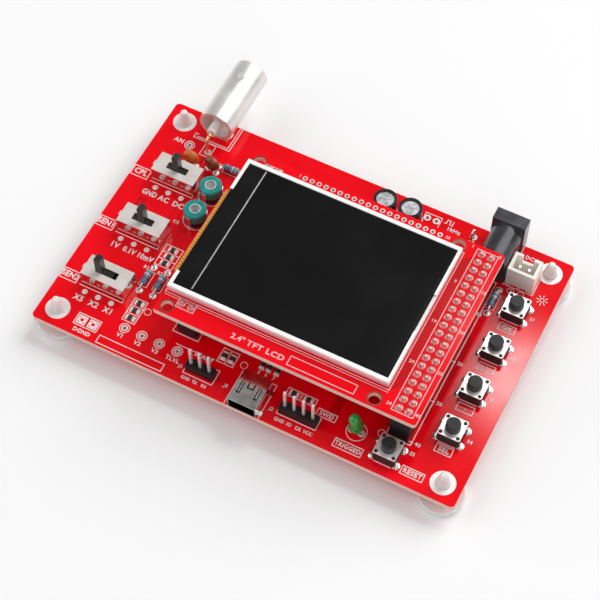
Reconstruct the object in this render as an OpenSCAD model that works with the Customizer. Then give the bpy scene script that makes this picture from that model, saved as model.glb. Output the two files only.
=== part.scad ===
// Open-board bench oscilloscope: a main board on four push-in feet, with a plug-in colour display,
// a bayonet signal input, three slide switches, five push keys, two trimmers and its sockets.
// Board frame: origin at the centre of the main board's top face, X right, Y back, Z up.

/* [Main board] */
// Length of the main board, left to right
board_l = 117; // [110:1:150]
// Width of the main board, front to back
board_w = 76; // [74:1:100]
// Thickness of both printed boards
board_t = 1.6; // [1:0.1:2.4]
// Corner radius of the main board
board_corner_r = 1.2; // [0.4:0.1:3]
// How far a soldered lead stands out below the board
lead_tail = 1.2; // [0.6:0.1:2]

/* [Feet] */
// Distance from a foot's centre to the two board edges beside it
foot_inset = 4.95; // [4:0.05:7]
// Height of the board's underside above the table
foot_h = 5; // [4:0.5:12]
// Diameter of the base disc
foot_d = 12; // [8:0.5:14]
// Thickness of the base disc
foot_disc_t = 1.9; // [1:0.1:3]
// Diameter of the collar under the board
foot_collar_d = 6.4; // [5:0.1:8]
// Diameter of the neck that fills the board's hole
foot_neck_d = 3.1; // [2:0.1:4]
// Diameter of the tip's shoulder on top of the board
foot_shoulder_d = 3.7; // [3.2:0.1:5]
// Height of the tip above the board
foot_tip_h = 4.6; // [2:0.1:8]

/* [Display] */
// Length of the display board, left to right
lcd_board_l = 71; // [70:0.5:84]
// Width of the display board, front to back
lcd_board_w = 53.3; // [53:0.1:60]
// Distance of the display board's right edge from the main board's right edge
lcd_board_right = 15.2; // [14.5:0.1:22]
// Distance of the display board's front edge from the main board's front edge
lcd_board_front = 9.5; // [9:0.1:14]
// Length of the panel's backlight frame
panel_l = 60.2; // [50:0.1:60.4]
// Width of the panel's backlight frame
panel_w = 42.7; // [36:0.1:44]
// Thickness of the panel
panel_t = 2.3; // [2:0.1:4]
// Thickness of the adhesive sheet under the panel
adhesive_t = 0.3; // [0.2:0.05:1]
// Gap from the display board's left edge to the panel
panel_left = 0.9; // [0.8:0.1:4]
// Gap from the display board's front edge to the panel
panel_front = 6.3; // [5:0.1:8]
// Thickness of the lower glass, which carries the ledge
lower_glass_t = 0.9; // [0.4:0.1:1.2]
// Thickness of the upper glass
upper_glass_t = 0.7; // [0.4:0.1:1.2]
// Width of the ledge on the lower glass, where the flex bonds
ledge_w = 4.9; // [2:0.1:8]
// Width of the flex
flex_w = 27; // [10:0.5:34]
// Thickness of the flex
flex_t = 0.14; // [0.1:0.01:0.3]
// Radius of the display board's mounting holes
lcd_hole_r = 1.55; // [1:0.05:2]

/* [Display header] */
// Pin pitch of all pin headers
pitch = 2.54; // [2:0.01:2.54]
// Rows of the two-column display header
header_rows = 20; // [10:1:20]
// Distance from the display board's right edge to the header's centre
header_inset = 4.23; // [3.8:0.01:5.5]
// Height of the sockets on the main board
socket_h = 8.5; // [7:0.1:10]
// Height of a pin header's plastic
spacer_h = 2.5; // [1.5:0.1:3]
// Side of a square pin
pin_side = 0.64; // [0.5:0.01:0.8]
// How far the display's pins reach down into their sockets
pin_depth = 6.2; // [3:0.1:6.5]

/* [Signal input] */
// Distance of the input's axis from the board's left edge
input_left = 15.3; // [13:0.1:20]
// Outer diameter of the input barrel
input_d = 9.7; // [9:0.1:11]
// Diameter of the input's mouth
input_bore_d = 8.1; // [7:0.1:8.4]
// Depth of the mouth, down to the step inside
input_bore_depth = 5; // [3:0.1:7]
// Overall length of the input barrel
input_l = 20.3; // [18:0.1:26]
// How far the barrel stands out past the board's back edge
input_overhang = 14.3; // [10:0.1:18]
// Gap between the input barrel and the board
input_lift = 0.55; // [0.3:0.05:2]

/* [Slide switches] */
// Distance of the switch centres from the board's left edge
switch_left = 12.8; // [11:0.1:14]
// Distance of the rear switch from the board's back edge
switch_back = 22.5; // [21:0.1:26]
// Distance from one slide switch to the next
switch_pitch = 18.15; // [14:0.05:20]
// Length of a switch cover
switch_l = 12.5; // [12:0.1:14]
// Width of a switch cover
switch_w = 6.2; // [5.8:0.1:7]
// Height of a switch cover above the board
switch_h = 5; // [4.6:0.1:7]
// Travel of a lever from one position to the next
lever_step = 2; // [1:0.1:2]
// Width of a lever along its travel
lever_w = 1.8; // [1:0.1:2.4]
// Thickness of a lever across its travel
lever_t = 1.9; // [1:0.1:2.6]
// How far a lever stands out above its cover
lever_h = 5.8; // [2:0.1:8]

/* [Push keys] */
// Distance of the key column from the board's right edge
key_right = 8.45; // [7:0.05:9]
// Distance of the rear key from the board's back edge
key_back = 19.55; // [18:0.05:24]
// Distance from one key to the next in the column
key_pitch = 12.85; // [10:0.05:16]
// Distance of the reset key from the board's right edge
reset_right = 20; // [19:0.05:22]
// Distance of the reset key from the board's front edge
reset_front = 6.15; // [4.5:0.05:6.5]
// Side of a key's square body
key_side = 6; // [5:0.1:6.2]
// Height of a key's cover plate above the board
key_h = 3.4; // [3:0.1:5]
// Diameter of a key's plunger
plunger_d = 3.7; // [2.5:0.1:3.8]
// Height of a key's plunger above the board
plunger_h = 5.5; // [5:0.1:9]
// Travel of a key
key_travel = 0.25; // [0.1:0.05:0.25]

/* [Trimmers] */
// Diameter of a trimmer's body
trimmer_d = 6; // [5:0.1:7]
// Height of a trimmer above the board
trimmer_h = 5; // [4:0.1:7]
// Distance of the trimmers from the board's left edge
trimmer_left = 23.05; // [22.6:0.05:25]
// Distance of the rear trimmer from the board's back edge
trimmer_back = 23.05; // [22.6:0.05:26]
// Distance from one trimmer to the other
trimmer_pitch = 8.45; // [7.6:0.05:10]

/* [Power sockets] */
// Distance of the power jack's axis from the board's right edge
jack_right = 18.6; // [18:0.1:20]
// Width of the jack's front flange
jack_w = 9; // [8:0.1:10]
// Height of the jack's front flange
jack_h = 11; // [9:0.1:12]
// Length of the jack
jack_l = 13.9; // [12:0.1:14]
// How far the jack stands out past the board's back edge
jack_overhang = 0.8; // [0:0.1:3]
// Height of the jack's axis above the board
jack_axis_h = 6.5; // [5:0.1:7]
// Diameter of the jack's bore
jack_bore_d = 6.2; // [5:0.1:6.4]
// Depth of the jack's bore
jack_bore_depth = 9.2; // [7:0.1:10]
// Diameter of the jack's centre pin
jack_pin_d = 2; // [1.2:0.1:2.5]
// Distance of the battery socket's centre from the board's right edge
battery_right = 10.55; // [10:0.05:10.6]
// Distance of the battery socket's centre from the board's back edge
battery_back = 9.9; // [9:0.1:12]
// Length of the battery socket
battery_l = 7.5; // [7:0.1:8]
// Width of the battery socket
battery_w = 5.75; // [5:0.05:7]
// Height of the battery socket
battery_h = 7; // [6:0.1:10]
// Wall thickness of the battery socket
battery_wall = 0.8; // [0.5:0.05:1]

/* [Data socket and pin headers] */
// Distance of the data socket's centre to the right of the board's centre
usb_x = 1.8; // [0:0.1:3]
// Width of the data socket
usb_w = 7.6; // [7:0.1:8]
// Length of the data socket
usb_l = 9; // [8:0.1:9.4]
// Height of the data socket
usb_h = 3.95; // [3.5:0.05:5]
// Sheet thickness of all pressed metal shells
sheet_t = 0.3; // [0.2:0.05:0.35]
// Distance of both pin headers from the board's front edge
header_front = 5.2; // [4:0.1:6]
// Height of the free pins' tips above the board
free_pin_h = 9; // [6:0.1:11]

/* [Small parts] */
// Diameter of the trigger lamp
lamp_d = 3; // [2:0.1:5]
// Height of the lamp's flange above the board
lamp_stand = 2.1; // [1:0.1:5]
// Diameter of the electrolytic capacitors
can_d = 6.3; // [5:0.1:6.6]
// Height of the electrolytic capacitors
can_h = 6.6; // [5:0.1:9]
// Distance between the two leads of a resistor
resistor_span = 7.62; // [7:0.01:8]
// Length of a resistor's body
resistor_l = 4; // [3:0.1:4.6]
// Diameter of a resistor's body
resistor_d = 1.7; // [1:0.1:2]
// Diameter of a component's wire lead
wire_d = 0.5; // [0.4:0.05:0.6]

/* [Clearances] */
// Sideways clearance of a sliding piece
slide_gap = 0.06; // [0.03:0.01:0.1]
// Clearance of a fixed piece in its hole
seat_gap = 0.05; // [0.02:0.01:0.08]
// Radial clearance of a lead in its hole in a board
lead_gap = 0.12; // [0.05:0.01:0.15]

/* [Hidden] */
$fn = 48;
eps = 0.02;

left = -board_l / 2;
right = board_l / 2;
front = -board_w / 2;
back = board_w / 2;
tail_z = -board_t - lead_tail;

// Feet, and the frame's origin at the middle of the whole object's base
foot_x = board_l / 2 - foot_inset;
foot_y = board_w / 2 - foot_inset;
foot_hole_r = foot_neck_d / 2 + seat_gap;
front_reach = max(board_w / 2, foot_y + foot_d / 2);
back_reach = back + input_overhang;
origin_y = (front_reach - back_reach) / 2;
table_to_top = foot_h + board_t;

// Display board and panel
plug_gap = 0.05;
lcd_x1 = right - lcd_board_right;
lcd_x0 = lcd_x1 - lcd_board_l;
lcd_y0 = front + lcd_board_front;
lcd_y1 = lcd_y0 + lcd_board_w;
lcd_z0 = socket_h + plug_gap + spacer_h;
lcd_z1 = lcd_z0 + board_t;
lcd_corner_r = 0.8;
lcd_hole_left = 3;
lcd_hole_right = 11.7;
lcd_hole_edge = 2.3;
panel_x0 = lcd_x0 + panel_left;
panel_y0 = lcd_y0 + panel_front;
panel_z0 = lcd_z1 + adhesive_t;
panel_z1 = panel_z0 + panel_t;
frame_floor = 0.4;
frame_side = 1.1;
frame_left = 0.9;
frame_right = 0.8;
glass_x0 = panel_x0 + frame_left;
glass_x1 = panel_x0 + panel_l - frame_right;
glass_y0 = panel_y0 + frame_side;
glass_y1 = panel_y0 + panel_w - frame_side;
glass_z0 = panel_z0 + frame_floor;
ledge_z = glass_z0 + lower_glass_t;
flex_y0 = panel_y0 + 5.2;
flex_bend_x = panel_x0 - 0.3;
flex_foot_l = 3.2;
right_notch_y0 = 15.7;
right_notch_l = 11.5;
right_notch_t = 0.5;

// Display header and the two support headers
header_x = lcd_x1 - header_inset;
header_y = (lcd_y0 + lcd_y1) / 2 + 0.15;
support_x = lcd_x0 + 7.2;
support_edge = [4.5, 50.35];
support_pins = 2;
socket_play = 0.05;
socket_pad = 0.7;
cavity_r = pin_side * 0.75 + socket_play;
contact_top = socket_h - pin_depth - 0.3;
contact_side = 0.5;
pin_above_board = 0.9;

// Signal input
input_x = left + input_left;
input_axis_h = input_d / 2 + input_lift;
input_y1 = back + input_overhang;
input_y0 = input_y1 - input_l;
web_t = 6;
recess_depth = 2.4;
recess_r = input_bore_d / 2 - 0.05;
neck_r = 3.5;
insulator_r = 2.35;
contact_r = 1;
socket_r = 0.68;
nub_r = 1.35;
nub_l = 2.5;
input_lead_r = 0.45;
input_lead_bend = 1.5;
input_lead_y = input_y0 - nub_l - 1 - input_lead_bend;
ground_pin_r = 0.7;
ground_pin_dx = 2;
ground_pin_y = input_y0 + 2.6;
input_foot_w = 6;
input_foot_l = 5.2;
web_y1 = input_y0 + recess_depth + web_t;
lug_r = 0.95;
lug_h = 0.75;
lug_back = 5.8;

// Slide switches
switch_x = left + switch_left;
switch_y = [for (i = [0:2]) back - switch_back - i * switch_pitch];
switch_start = [0, 0, -1];
cover_t = 0.35;
base_h = switch_h - cover_t - 1.25;
cover_foot = 0.5;
cover_window_w = 0.9;
cover_window_h = 0.8;
cover_window_z = 2.6;
cover_window_pitch = 1.9;
carriage_l = 3.4 + 2 * lever_step;
carriage_w = 4.4;
carriage_t = 1.13;
slot_l = lever_w + 2 * lever_step + 2 * slide_gap;
base_floor = 1;
base_wall = 1.2;
contact_rise = 0.25;
wiper_l = 4.2;
wiper_t = 0.5;
terminal_pitch = 2.5;
terminal_row = 1.35;
terminal_w = 0.6;
terminal_t = 0.36;

// Push keys
key_x = right - key_right;
key_places = concat(
    [for (i = [0:3]) [key_x, back - key_back - i * key_pitch]],
    [[right - reset_right, front + reset_front]]
);
key_plate_t = 0.25;
key_floor = 0.6;
key_well_r = 2.45;
key_flange_r = 2.3;
key_flange_t = 0.75;
key_rivet_r = 0.42;
key_rivet_at = 2.3;
dome_h = 1.1;
dome_t = 0.15;
plunger_foot = key_floor + dome_h + key_travel + 0.06;
key_leg_x = key_side / 2 + 0.15;
key_leg_y = 2.25;
key_leg_t = 0.3;
key_leg_w = 0.7;

// Trimmers
trimmer_x = left + trimmer_left;
trimmer_y = [for (i = [0:1]) back - trimmer_back - i * trimmer_pitch];
trimmer_stand = 0.5;
rotor_r = 1.15;
rotor_head = 0.55;
rotor_sink = 0.1;
rotor_shaft_r = 0.7;
rotor_foot = 1.6;
rotor_slot_w = 0.45;
rotor_slot_depth = 0.3;
trimmer_leg_y = 2.3;

// Power sockets
jack_x = right - jack_right;
jack_y1 = back + jack_overhang;
jack_y0 = jack_y1 - jack_l;
jack_flange_t = 3.5;
jack_body_r = 4;
jack_pin_tip = 0.6;
jack_pin_root = 3;
jack_tab_w = 1.8;
jack_tab_t = 0.4;
jack_leaf_t = 0.2;
jack_tabs = [[0, 1.2], [0, 7.2], [3.2, 4.2]];
battery_x = right - battery_right;
battery_y = back - battery_back;
battery_pin_pitch = 2.5;
battery_floor = 1.1;
battery_notch_w = 3;
battery_notch_depth = 2.6;

// Data socket and pin headers
usb_y0 = front;
usb_base_h = 0.35;
free_header_y = front + header_front;
free_headers = [[-12.4, 3], [14.9, 4]];

// Component places: x, y and the turn of the leads about Z; those under the display follow its middle
mid_x = (lcd_x0 + lcd_x1) / 2;
mid_y = (lcd_y0 + lcd_y1) / 2;
resistor_places = [
    [left + 20.7, front + 22.7, 90], [left + 24.6, front + 22.8, 90],
    [right - 14.7, back - 19.2, 90], [left + 24.1, back - 13.8, 0],
    for (x = [-23.8, -20.3, -16.8, -13.3]) [mid_x + x, mid_y + 10.8, 90],
    for (x = [19.2, 22.7], y = [3.8, 14.8]) [mid_x + x, mid_y + y, 90]
];
ceramic_places = [
    [left + 13.3, back - 16.3, 0], [left + 19.3, back - 15.7, -12],
    [mid_x - 29.3, mid_y + 13.8, 90], [mid_x - 29.3, mid_y + 4.8, 90],
    [mid_x + 12.7, mid_y + 13.3, 0], [mid_x + 23.2, mid_y - 8.2, 90]
];
electrolytic_places = [[right - 50.9, back - 7.3], [right - 43.9, back - 6.9],
    [mid_x - 28.3, mid_y - 11.8], [mid_x + 16.2, mid_y - 11.2]];
inductor_places = [[mid_x - 9.8, mid_y - 15.2, 0], [mid_x - 9.8, mid_y - 19.7, 0], [mid_x + 5.2, mid_y + 18.3, 0]];
crystal_place = [mid_x + 4.2, mid_y + 8.3];
lamp_place = [right - 29.3, front + 7.9];
loop_place = [right - 27, back - 4.6];
lamp_lean = -11;
can_stand = 0.2;
can_skin = 0.15;
can_lip_r = 2.45;
can_lead_span = 2.5;
ceramic_r = 2.3;
ceramic_t = 2.2;
ceramic_z = 3.1;
ceramic_span = 2.54;
body_z = resistor_d / 2 + 0.25;
inductor_l = 7;
inductor_d = 2.8;
inductor_span = 11;
crystal_l = 10.6;
crystal_w = 4.4;
crystal_h = 3.6;
crystal_span = 4.9;
lamp_span = 2.54;
lamp_flange_r = lamp_d / 2 + 0.35;
lamp_body_h = 3.6;
lead_hole_r = wire_d / 2 + lead_gap;
loop_r = 0.35;
loop_span = 2;
loop_h = 4;
mcu_place = [mid_x + 0.2, mid_y - 4.2];
mcu_side = 7;
mcu_h = 1.4;
mcu_pins = 12;
mcu_pin_pitch = 0.5;
amp_places = [for (y = [0.3, -5.7]) [mid_x - 21.8, mid_y + y]];
amp_l = 8.65;
amp_w = 3.9;
amp_h = 1.5;
regulator_places = [for (y = [-0.7, 6.3]) [mid_x + 12.2, mid_y + y]];

function spread(p, span) = [for (s = [-1, 1])
    [p[0] + s * span / 2 * cos(p[2]), p[1] + s * span / 2 * sin(p[2])]];
function spreads(places, span) = [for (p = places) each spread(p, span)];
function column(p, count, gap) = [for (i = [0:count - 1]) [p[0] + (i - (count - 1) / 2) * gap, p[1]]];

support_y = [for (e = support_edge) lcd_y0 + e];
header_grid = [for (i = [0:header_rows - 1], c = [-0.5, 0.5])
    [header_x + c * pitch, header_y + (i - (header_rows - 1) / 2) * pitch]];
support_grid = [for (y = support_y) each column([support_x, y], support_pins, pitch)];
all_plug_pins = concat(header_grid, support_grid);
free_pins = [for (h = free_headers) each column([h[0], free_header_y], h[1], pitch)];
battery_pins = column([battery_x, battery_y], 2, battery_pin_pitch);
switch_pins = [for (y = switch_y, row = [-1, 1]) each
    column([switch_x, y + row * terminal_row], 4, terminal_pitch)];
key_legs = [for (k = key_places, sx = [-1, 1], sy = [-1, 1])
    [k[0] + sx * key_leg_x, k[1] + sy * key_leg_y, sx]];
electrolytic_leads = spreads([for (p = electrolytic_places) [p[0], p[1], 0]], can_lead_span);
ceramic_leads = spreads(ceramic_places, ceramic_span);
crystal_leads = column(crystal_place, 2, crystal_span);
lamp_leads = column(lamp_place, 2, lamp_span);
upright_leads = concat(electrolytic_leads, ceramic_leads, crystal_leads);
wire_holes = concat(upright_leads, lamp_leads, spreads(resistor_places, resistor_span),
    spreads(inductor_places, inductor_span));
trimmer_legs = [for (y = trimmer_y, s = [-1, 1]) [trimmer_x, y + s * trimmer_leg_y]];
test_pads = [[left + 23, front + 7.5], [left + 28, front + 7.5], [left + 33, front + 7.5],
    [left + 38.1, front + 7.6], [left + 9.9, back - 11.2],
    [right - 40.25, back - 3.45], [right - 37.71, back - 3.45]];
test_pad_r = 0.5;

module on_board() {
    translate([0, origin_y, table_to_top]) children();
}

module at_each(points) {
    for (p = points) translate([p[0], p[1], 0]) children();
}

module block(l, w, z0, z1) {
    translate([-l / 2, -w / 2, z0]) cube([l, w, z1 - z0]);
}

module rounded_plate(l, w, z0, z1, r) {
    block(l - 2 * r, w, z0, z1);
    block(l, w - 2 * r, z0, z1);
    for (sx = [-1, 1], sy = [-1, 1])
        translate([sx * (l / 2 - r), sy * (w / 2 - r), z0]) cylinder(h = z1 - z0, r = r);
}

module post(r, z0, z1) {
    translate([0, 0, z0]) cylinder(h = z1 - z0, r = r);
}

// A round bar along Y from y0 to y1
module bar_y(r, y0, y1) {
    translate([0, y0, 0]) rotate([-90, 0, 0]) cylinder(h = y1 - y0, r = r);
}

module board_drill(points, r) {
    at_each(points) post(r, -board_t - 1, 1);
}

module main_board() {
    color("crimson") on_board() difference() {
        rounded_plate(board_l, board_w, -board_t, 0, board_corner_r);
        for (sx = [-1, 1], sy = [-1, 1])
            translate([sx * foot_x, sy * foot_y, 0]) post(foot_hole_r, -board_t - 1, 1);
        board_drill(all_plug_pins, contact_side * 0.75 + lead_gap);
        board_drill(concat(free_pins, battery_pins), pin_side * 0.75 + lead_gap);
        board_drill(concat(wire_holes, loop_feet()), lead_hole_r + 0.1);
        board_drill(switch_pins, terminal_w * 0.6 + lead_gap);
        board_drill(key_legs, key_leg_w * 0.6 + lead_gap);
        board_drill(concat(trimmer_legs, test_pads), test_pad_r);
        board_drill([[input_x, input_lead_y]], input_lead_r + lead_gap);
        board_drill(input_ground_places(), ground_pin_r + lead_gap);
        board_drill(jack_tab_places(), jack_tab_w * 0.52 + lead_gap);
    }
}

module board_feet() {
    top_r = foot_neck_d / 2 - 0.65;
    disc_edge = 0.3;
    color("whitesmoke") on_board()
        for (sx = [-1, 1], sy = [-1, 1]) translate([sx * foot_x, sy * foot_y, 0])
            rotate_extrude() polygon([
                [0, -table_to_top], [foot_d / 2 - disc_edge, -table_to_top],
                [foot_d / 2, -table_to_top + disc_edge],
                [foot_d / 2, -table_to_top + foot_disc_t - disc_edge],
                [foot_d / 2 - disc_edge, -table_to_top + foot_disc_t],
                [foot_collar_d / 2, -table_to_top + foot_disc_t],
                [foot_collar_d / 2, -board_t], [foot_neck_d / 2, -board_t], [foot_neck_d / 2, 0],
                [foot_shoulder_d / 2, 0], [foot_shoulder_d / 2, 0.5],
                [top_r, foot_tip_h - 0.3], [top_r - 0.35, foot_tip_h], [0, foot_tip_h]
            ]);
}

function input_ground_places() = [for (s = [-1, 1]) [input_x + s * ground_pin_dx, ground_pin_y]];
ground_socket_depth = 0.9;

module input_barrel() {
    color("silver") on_board() difference() {
        translate([input_x, 0, input_axis_h]) difference() {
            union() {
                bar_y(input_d / 2, input_y0, input_y1);
                for (s = [-1, 1]) translate([0, input_y1 - lug_back, 0]) mirror([0, 0, s < 0 ? 1 : 0])
                    post(lug_r, recess_r, input_d / 2 + lug_h);
                translate([0, input_y0 + 0.3 + input_foot_l / 2, 0])
                    block(input_foot_w, input_foot_l, -input_axis_h, 0);
            }
            bar_y(input_bore_d / 2, input_y1 - input_bore_depth, input_y1 + 1);
            bar_y(neck_r, web_y1, input_y1);
            bar_y(insulator_r + seat_gap, input_y0, input_y1);
            bar_y(recess_r, input_y0 - 1, input_y0 + recess_depth);
        }
        at_each(input_ground_places()) post(ground_pin_r + seat_gap, -1, ground_socket_depth);
    }
}

module input_insulator() {
    color("ivory") on_board() translate([input_x, 0, input_axis_h]) difference() {
        union() {
            bar_y(insulator_r, input_y0 + recess_depth, input_y1 - input_bore_depth - 0.2);
            bar_y(nub_r, input_y0 - nub_l, input_y0 + recess_depth + eps);
        }
        bar_y(contact_r + seat_gap, input_y0 + recess_depth, input_y1);
        bar_y(input_lead_r + seat_gap, input_y0 - nub_l - 1, input_y1);
    }
}

module input_contact() {
    lead_y1 = input_lead_y + input_lead_bend;
    color("goldenrod") on_board() translate([input_x, 0, 0]) {
        translate([0, 0, input_axis_h]) difference() {
            union() {
                bar_y(contact_r, input_y0 + recess_depth + eps, input_y1 - input_bore_depth - 0.4);
                bar_y(input_lead_r, lead_y1, input_y0 + recess_depth + 1);
            }
            bar_y(socket_r, web_y1 - 2, input_y1);
        }
        translate([0, lead_y1, input_axis_h - input_lead_bend]) rotate([90, 0, -90])
            rotate_extrude(angle = 90) translate([input_lead_bend, 0]) circle(input_lead_r);
        translate([0, input_lead_y, 0]) post(input_lead_r, tail_z, input_axis_h - input_lead_bend);
    }
}

module input_ground_pins() {
    color("silver") on_board() at_each(input_ground_places())
        post(ground_pin_r, tail_z, ground_socket_depth);
}

module at_switch(i) {
    on_board() translate([switch_x, switch_y[i], 0]) children();
}

module switch_bases() {
    inset = cover_t + seat_gap;
    color("sienna") for (i = [0:2]) at_switch(i) difference() {
        block(switch_l - 2 * inset, switch_w - 2 * inset, 0, base_h);
        block(switch_l - 2 * (inset + base_wall), switch_w - 2 * (inset + base_wall) + 1, base_floor, base_h + 1);
        for (row = [-1, 1]) translate([0, row * terminal_row, 0]) at_each(column([0, 0], 4, terminal_pitch))
            block(terminal_w + 2 * seat_gap, terminal_t + 2 * seat_gap, -1, base_floor + 1);
    }
}

module switch_covers() {
    ear_w = 1.4;
    ear_l = 0.9;
    color("gainsboro") for (i = [0:2]) at_switch(i) difference() {
        union() {
            block(switch_l, switch_w, cover_foot, switch_h);
            translate([-switch_l / 2, 0, 0]) block(2 * ear_l, ear_w, base_h, base_h + cover_t);
        }
        block(switch_l - 2 * cover_t, switch_w - 2 * cover_t, 0, switch_h - cover_t);
        block(slot_l, lever_t + 2 * slide_gap, 0, switch_h + 1);
        for (s = [-1, 1]) translate([0, s * switch_w / 2, 0])
            at_each(column([0, 0], 4, cover_window_pitch))
                block(cover_window_w, 4 * cover_t, cover_window_z, cover_window_z + cover_window_h);
    }
}

module switch_terminals() {
    color("silver") on_board() at_each(switch_pins)
        block(terminal_w, terminal_t, tail_z, base_floor + contact_rise);
}

module lever(i) {
    taper = 0.25;
    shift = switch_start[i] * lever_step;
    color("dimgray") at_switch(i) translate([shift, 0, 0]) {
        block(carriage_l, carriage_w, base_h + 0.05, base_h + 0.05 + carriage_t);
        translate([0, lever_t / 2, 0]) rotate([90, 0, 0]) linear_extrude(lever_t) polygon([
            [-lever_w / 2, base_h + carriage_t], [lever_w / 2, base_h + carriage_t],
            [lever_w / 2, switch_h + lever_h - taper], [lever_w / 2 - taper, switch_h + lever_h],
            [-lever_w / 2 + taper, switch_h + lever_h], [-lever_w / 2, switch_h + lever_h - taper]
        ]);
    }
}

module wiper(i) {
    foot_z = base_floor + contact_rise + 0.05;
    color("goldenrod") at_switch(i) translate([switch_start[i] * lever_step, 0, 0])
        for (s = [-1, 1]) translate([0, s * terminal_row, 0])
            block(wiper_l, wiper_t, foot_z, base_h + 0.05);
}

module coupling_lever() lever(0);
module range_lever() lever(1);
module multiplier_lever() lever(2);
module coupling_wiper() wiper(0);
module range_wiper() wiper(1);
module multiplier_wiper() wiper(2);

module at_keys() {
    on_board() at_each(key_places) children();
}

module at_rivets() {
    for (sx = [-1, 1], sy = [-1, 1]) translate([sx * key_rivet_at, sy * key_rivet_at, 0]) children();
}

module key_bases() {
    plate_z = key_h - key_plate_t;
    color("black") at_keys() {
        difference() {
            rounded_plate(key_side, key_side, 0, plate_z, 0.4);
            post(key_well_r, key_floor, plate_z + 1);
        }
        at_rivets() post(key_rivet_r, plate_z, key_h + 0.15);
    }
}

module key_covers() {
    color("gainsboro") at_keys() difference() {
        rounded_plate(key_side, key_side, key_h - key_plate_t, key_h, 0.5);
        post(plunger_d / 2 + slide_gap, 0, key_h + 1);
        at_rivets() post(key_rivet_r + seat_gap, 0, key_h + 1);
    }
}

module key_domes() {
    rim_r = key_well_r - 0.1;
    color("silver") at_keys() rotate_extrude() polygon([
        [0, key_floor + dome_h - dome_t], [1.2, key_floor + dome_h - dome_t - 0.1], [rim_r - 0.2, key_floor],
        [rim_r, key_floor], [1.3, key_floor + dome_h - 0.1], [0, key_floor + dome_h]
    ]);
}

module key_terminals() {
    color("silver") on_board() for (leg = key_legs) translate([leg[0], leg[1], 0]) {
        block(key_leg_t, key_leg_w, tail_z, 1.5);
    }
}

module button(i) {
    flange_z1 = key_h - key_plate_t - 0.03;
    edge = 0.2;
    color("dimgray") on_board() translate([key_places[i][0], key_places[i][1], 0]) rotate_extrude() polygon([
        [0, plunger_foot], [1.2, plunger_foot], [1.2, flange_z1 - key_flange_t],
        [key_flange_r, flange_z1 - key_flange_t], [key_flange_r, flange_z1], [plunger_d / 2, flange_z1],
        [plunger_d / 2, plunger_h - edge], [plunger_d / 2 - edge, plunger_h], [0, plunger_h]
    ]);
}

module ok_button() button(0);
module plus_button() button(1);
module minus_button() button(2);
module select_button() button(3);
module reset_button() button(4);

module at_trimmer(i) {
    on_board() translate([trimmer_x, trimmer_y[i], 0]) children();
}

module trimmer_bodies() {
    edge = 0.25;
    color("lightseagreen") for (i = [0:1]) at_trimmer(i) difference() {
        union() {
            post(trimmer_d / 2, trimmer_stand, trimmer_h - edge);
            post(trimmer_d / 2 - edge, trimmer_h - 2 * edge, trimmer_h);
        }
        post(rotor_r + slide_gap, trimmer_h - rotor_sink - rotor_head - 0.05, trimmer_h + 1);
        post(rotor_shaft_r + slide_gap, rotor_foot - 0.1, trimmer_h + 1);
    }
}

module trimmer_terminals() {
    color("silver") on_board() at_each(trimmer_legs) block(0.6, 0.4, tail_z, trimmer_stand);
}

module rotor(i) {
    head_z1 = trimmer_h - rotor_sink;
    color("silver") at_trimmer(i) rotate([0, 0, 35]) difference() {
        union() {
            post(rotor_r, head_z1 - rotor_head, head_z1);
            post(rotor_shaft_r, rotor_foot, head_z1);
        }
        block(2 * rotor_r - 0.5, rotor_slot_w, head_z1 - rotor_slot_depth, head_z1 + 1);
    }
}

module rear_trimmer_rotor() rotor(0);
module front_trimmer_rotor() rotor(1);

lcd_holes = [for (x = [lcd_x0 + lcd_hole_left, lcd_x1 - lcd_hole_right],
    y = [lcd_y0 + lcd_hole_edge, lcd_y1 - lcd_hole_edge]) [x, y]];
spare_row = [for (i = [0:19]) [lcd_x0 + 15.8 + 2 * i, lcd_y1 - 1.65]];

module lcd_board() {
    color("crimson") on_board() difference() {
        translate([(lcd_x0 + lcd_x1) / 2, (lcd_y0 + lcd_y1) / 2, 0])
            rounded_plate(lcd_board_l, lcd_board_w, lcd_z0, lcd_z1, lcd_corner_r);
        translate([0, 0, lcd_z1]) {
            board_drill(lcd_holes, lcd_hole_r);
            board_drill(spare_row, 0.4);
            board_drill(all_plug_pins, pin_side * 0.75 + lead_gap);
        }
    }
}

module lcd_backlight_frame() {
    color("white") on_board() difference() {
        translate([panel_x0, panel_y0, panel_z0]) cube([panel_l, panel_w, panel_t]);
        translate([glass_x0, glass_y0, glass_z0])
            cube([glass_x1 - glass_x0, glass_y1 - glass_y0, panel_t]);
        translate([panel_x0 - 1, flex_y0 - 0.3, ledge_z - 0.05]) cube([frame_left + 2, flex_w + 0.6, panel_t]);
        translate([glass_x1 - 1, panel_y0 + right_notch_y0, panel_z1 - right_notch_t])
            cube([frame_right + 2, right_notch_l, panel_t]);
    }
}

module lcd_glass() {
    color([0.05, 0.05, 0.06]) on_board() translate([glass_x0, glass_y0, glass_z0]) {
        cube([glass_x1 - glass_x0, glass_y1 - glass_y0, lower_glass_t]);
        translate([ledge_w, 0, lower_glass_t - eps])
            cube([glass_x1 - glass_x0 - ledge_w, glass_y1 - glass_y0, upper_glass_t + eps]);
    }
}

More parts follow.
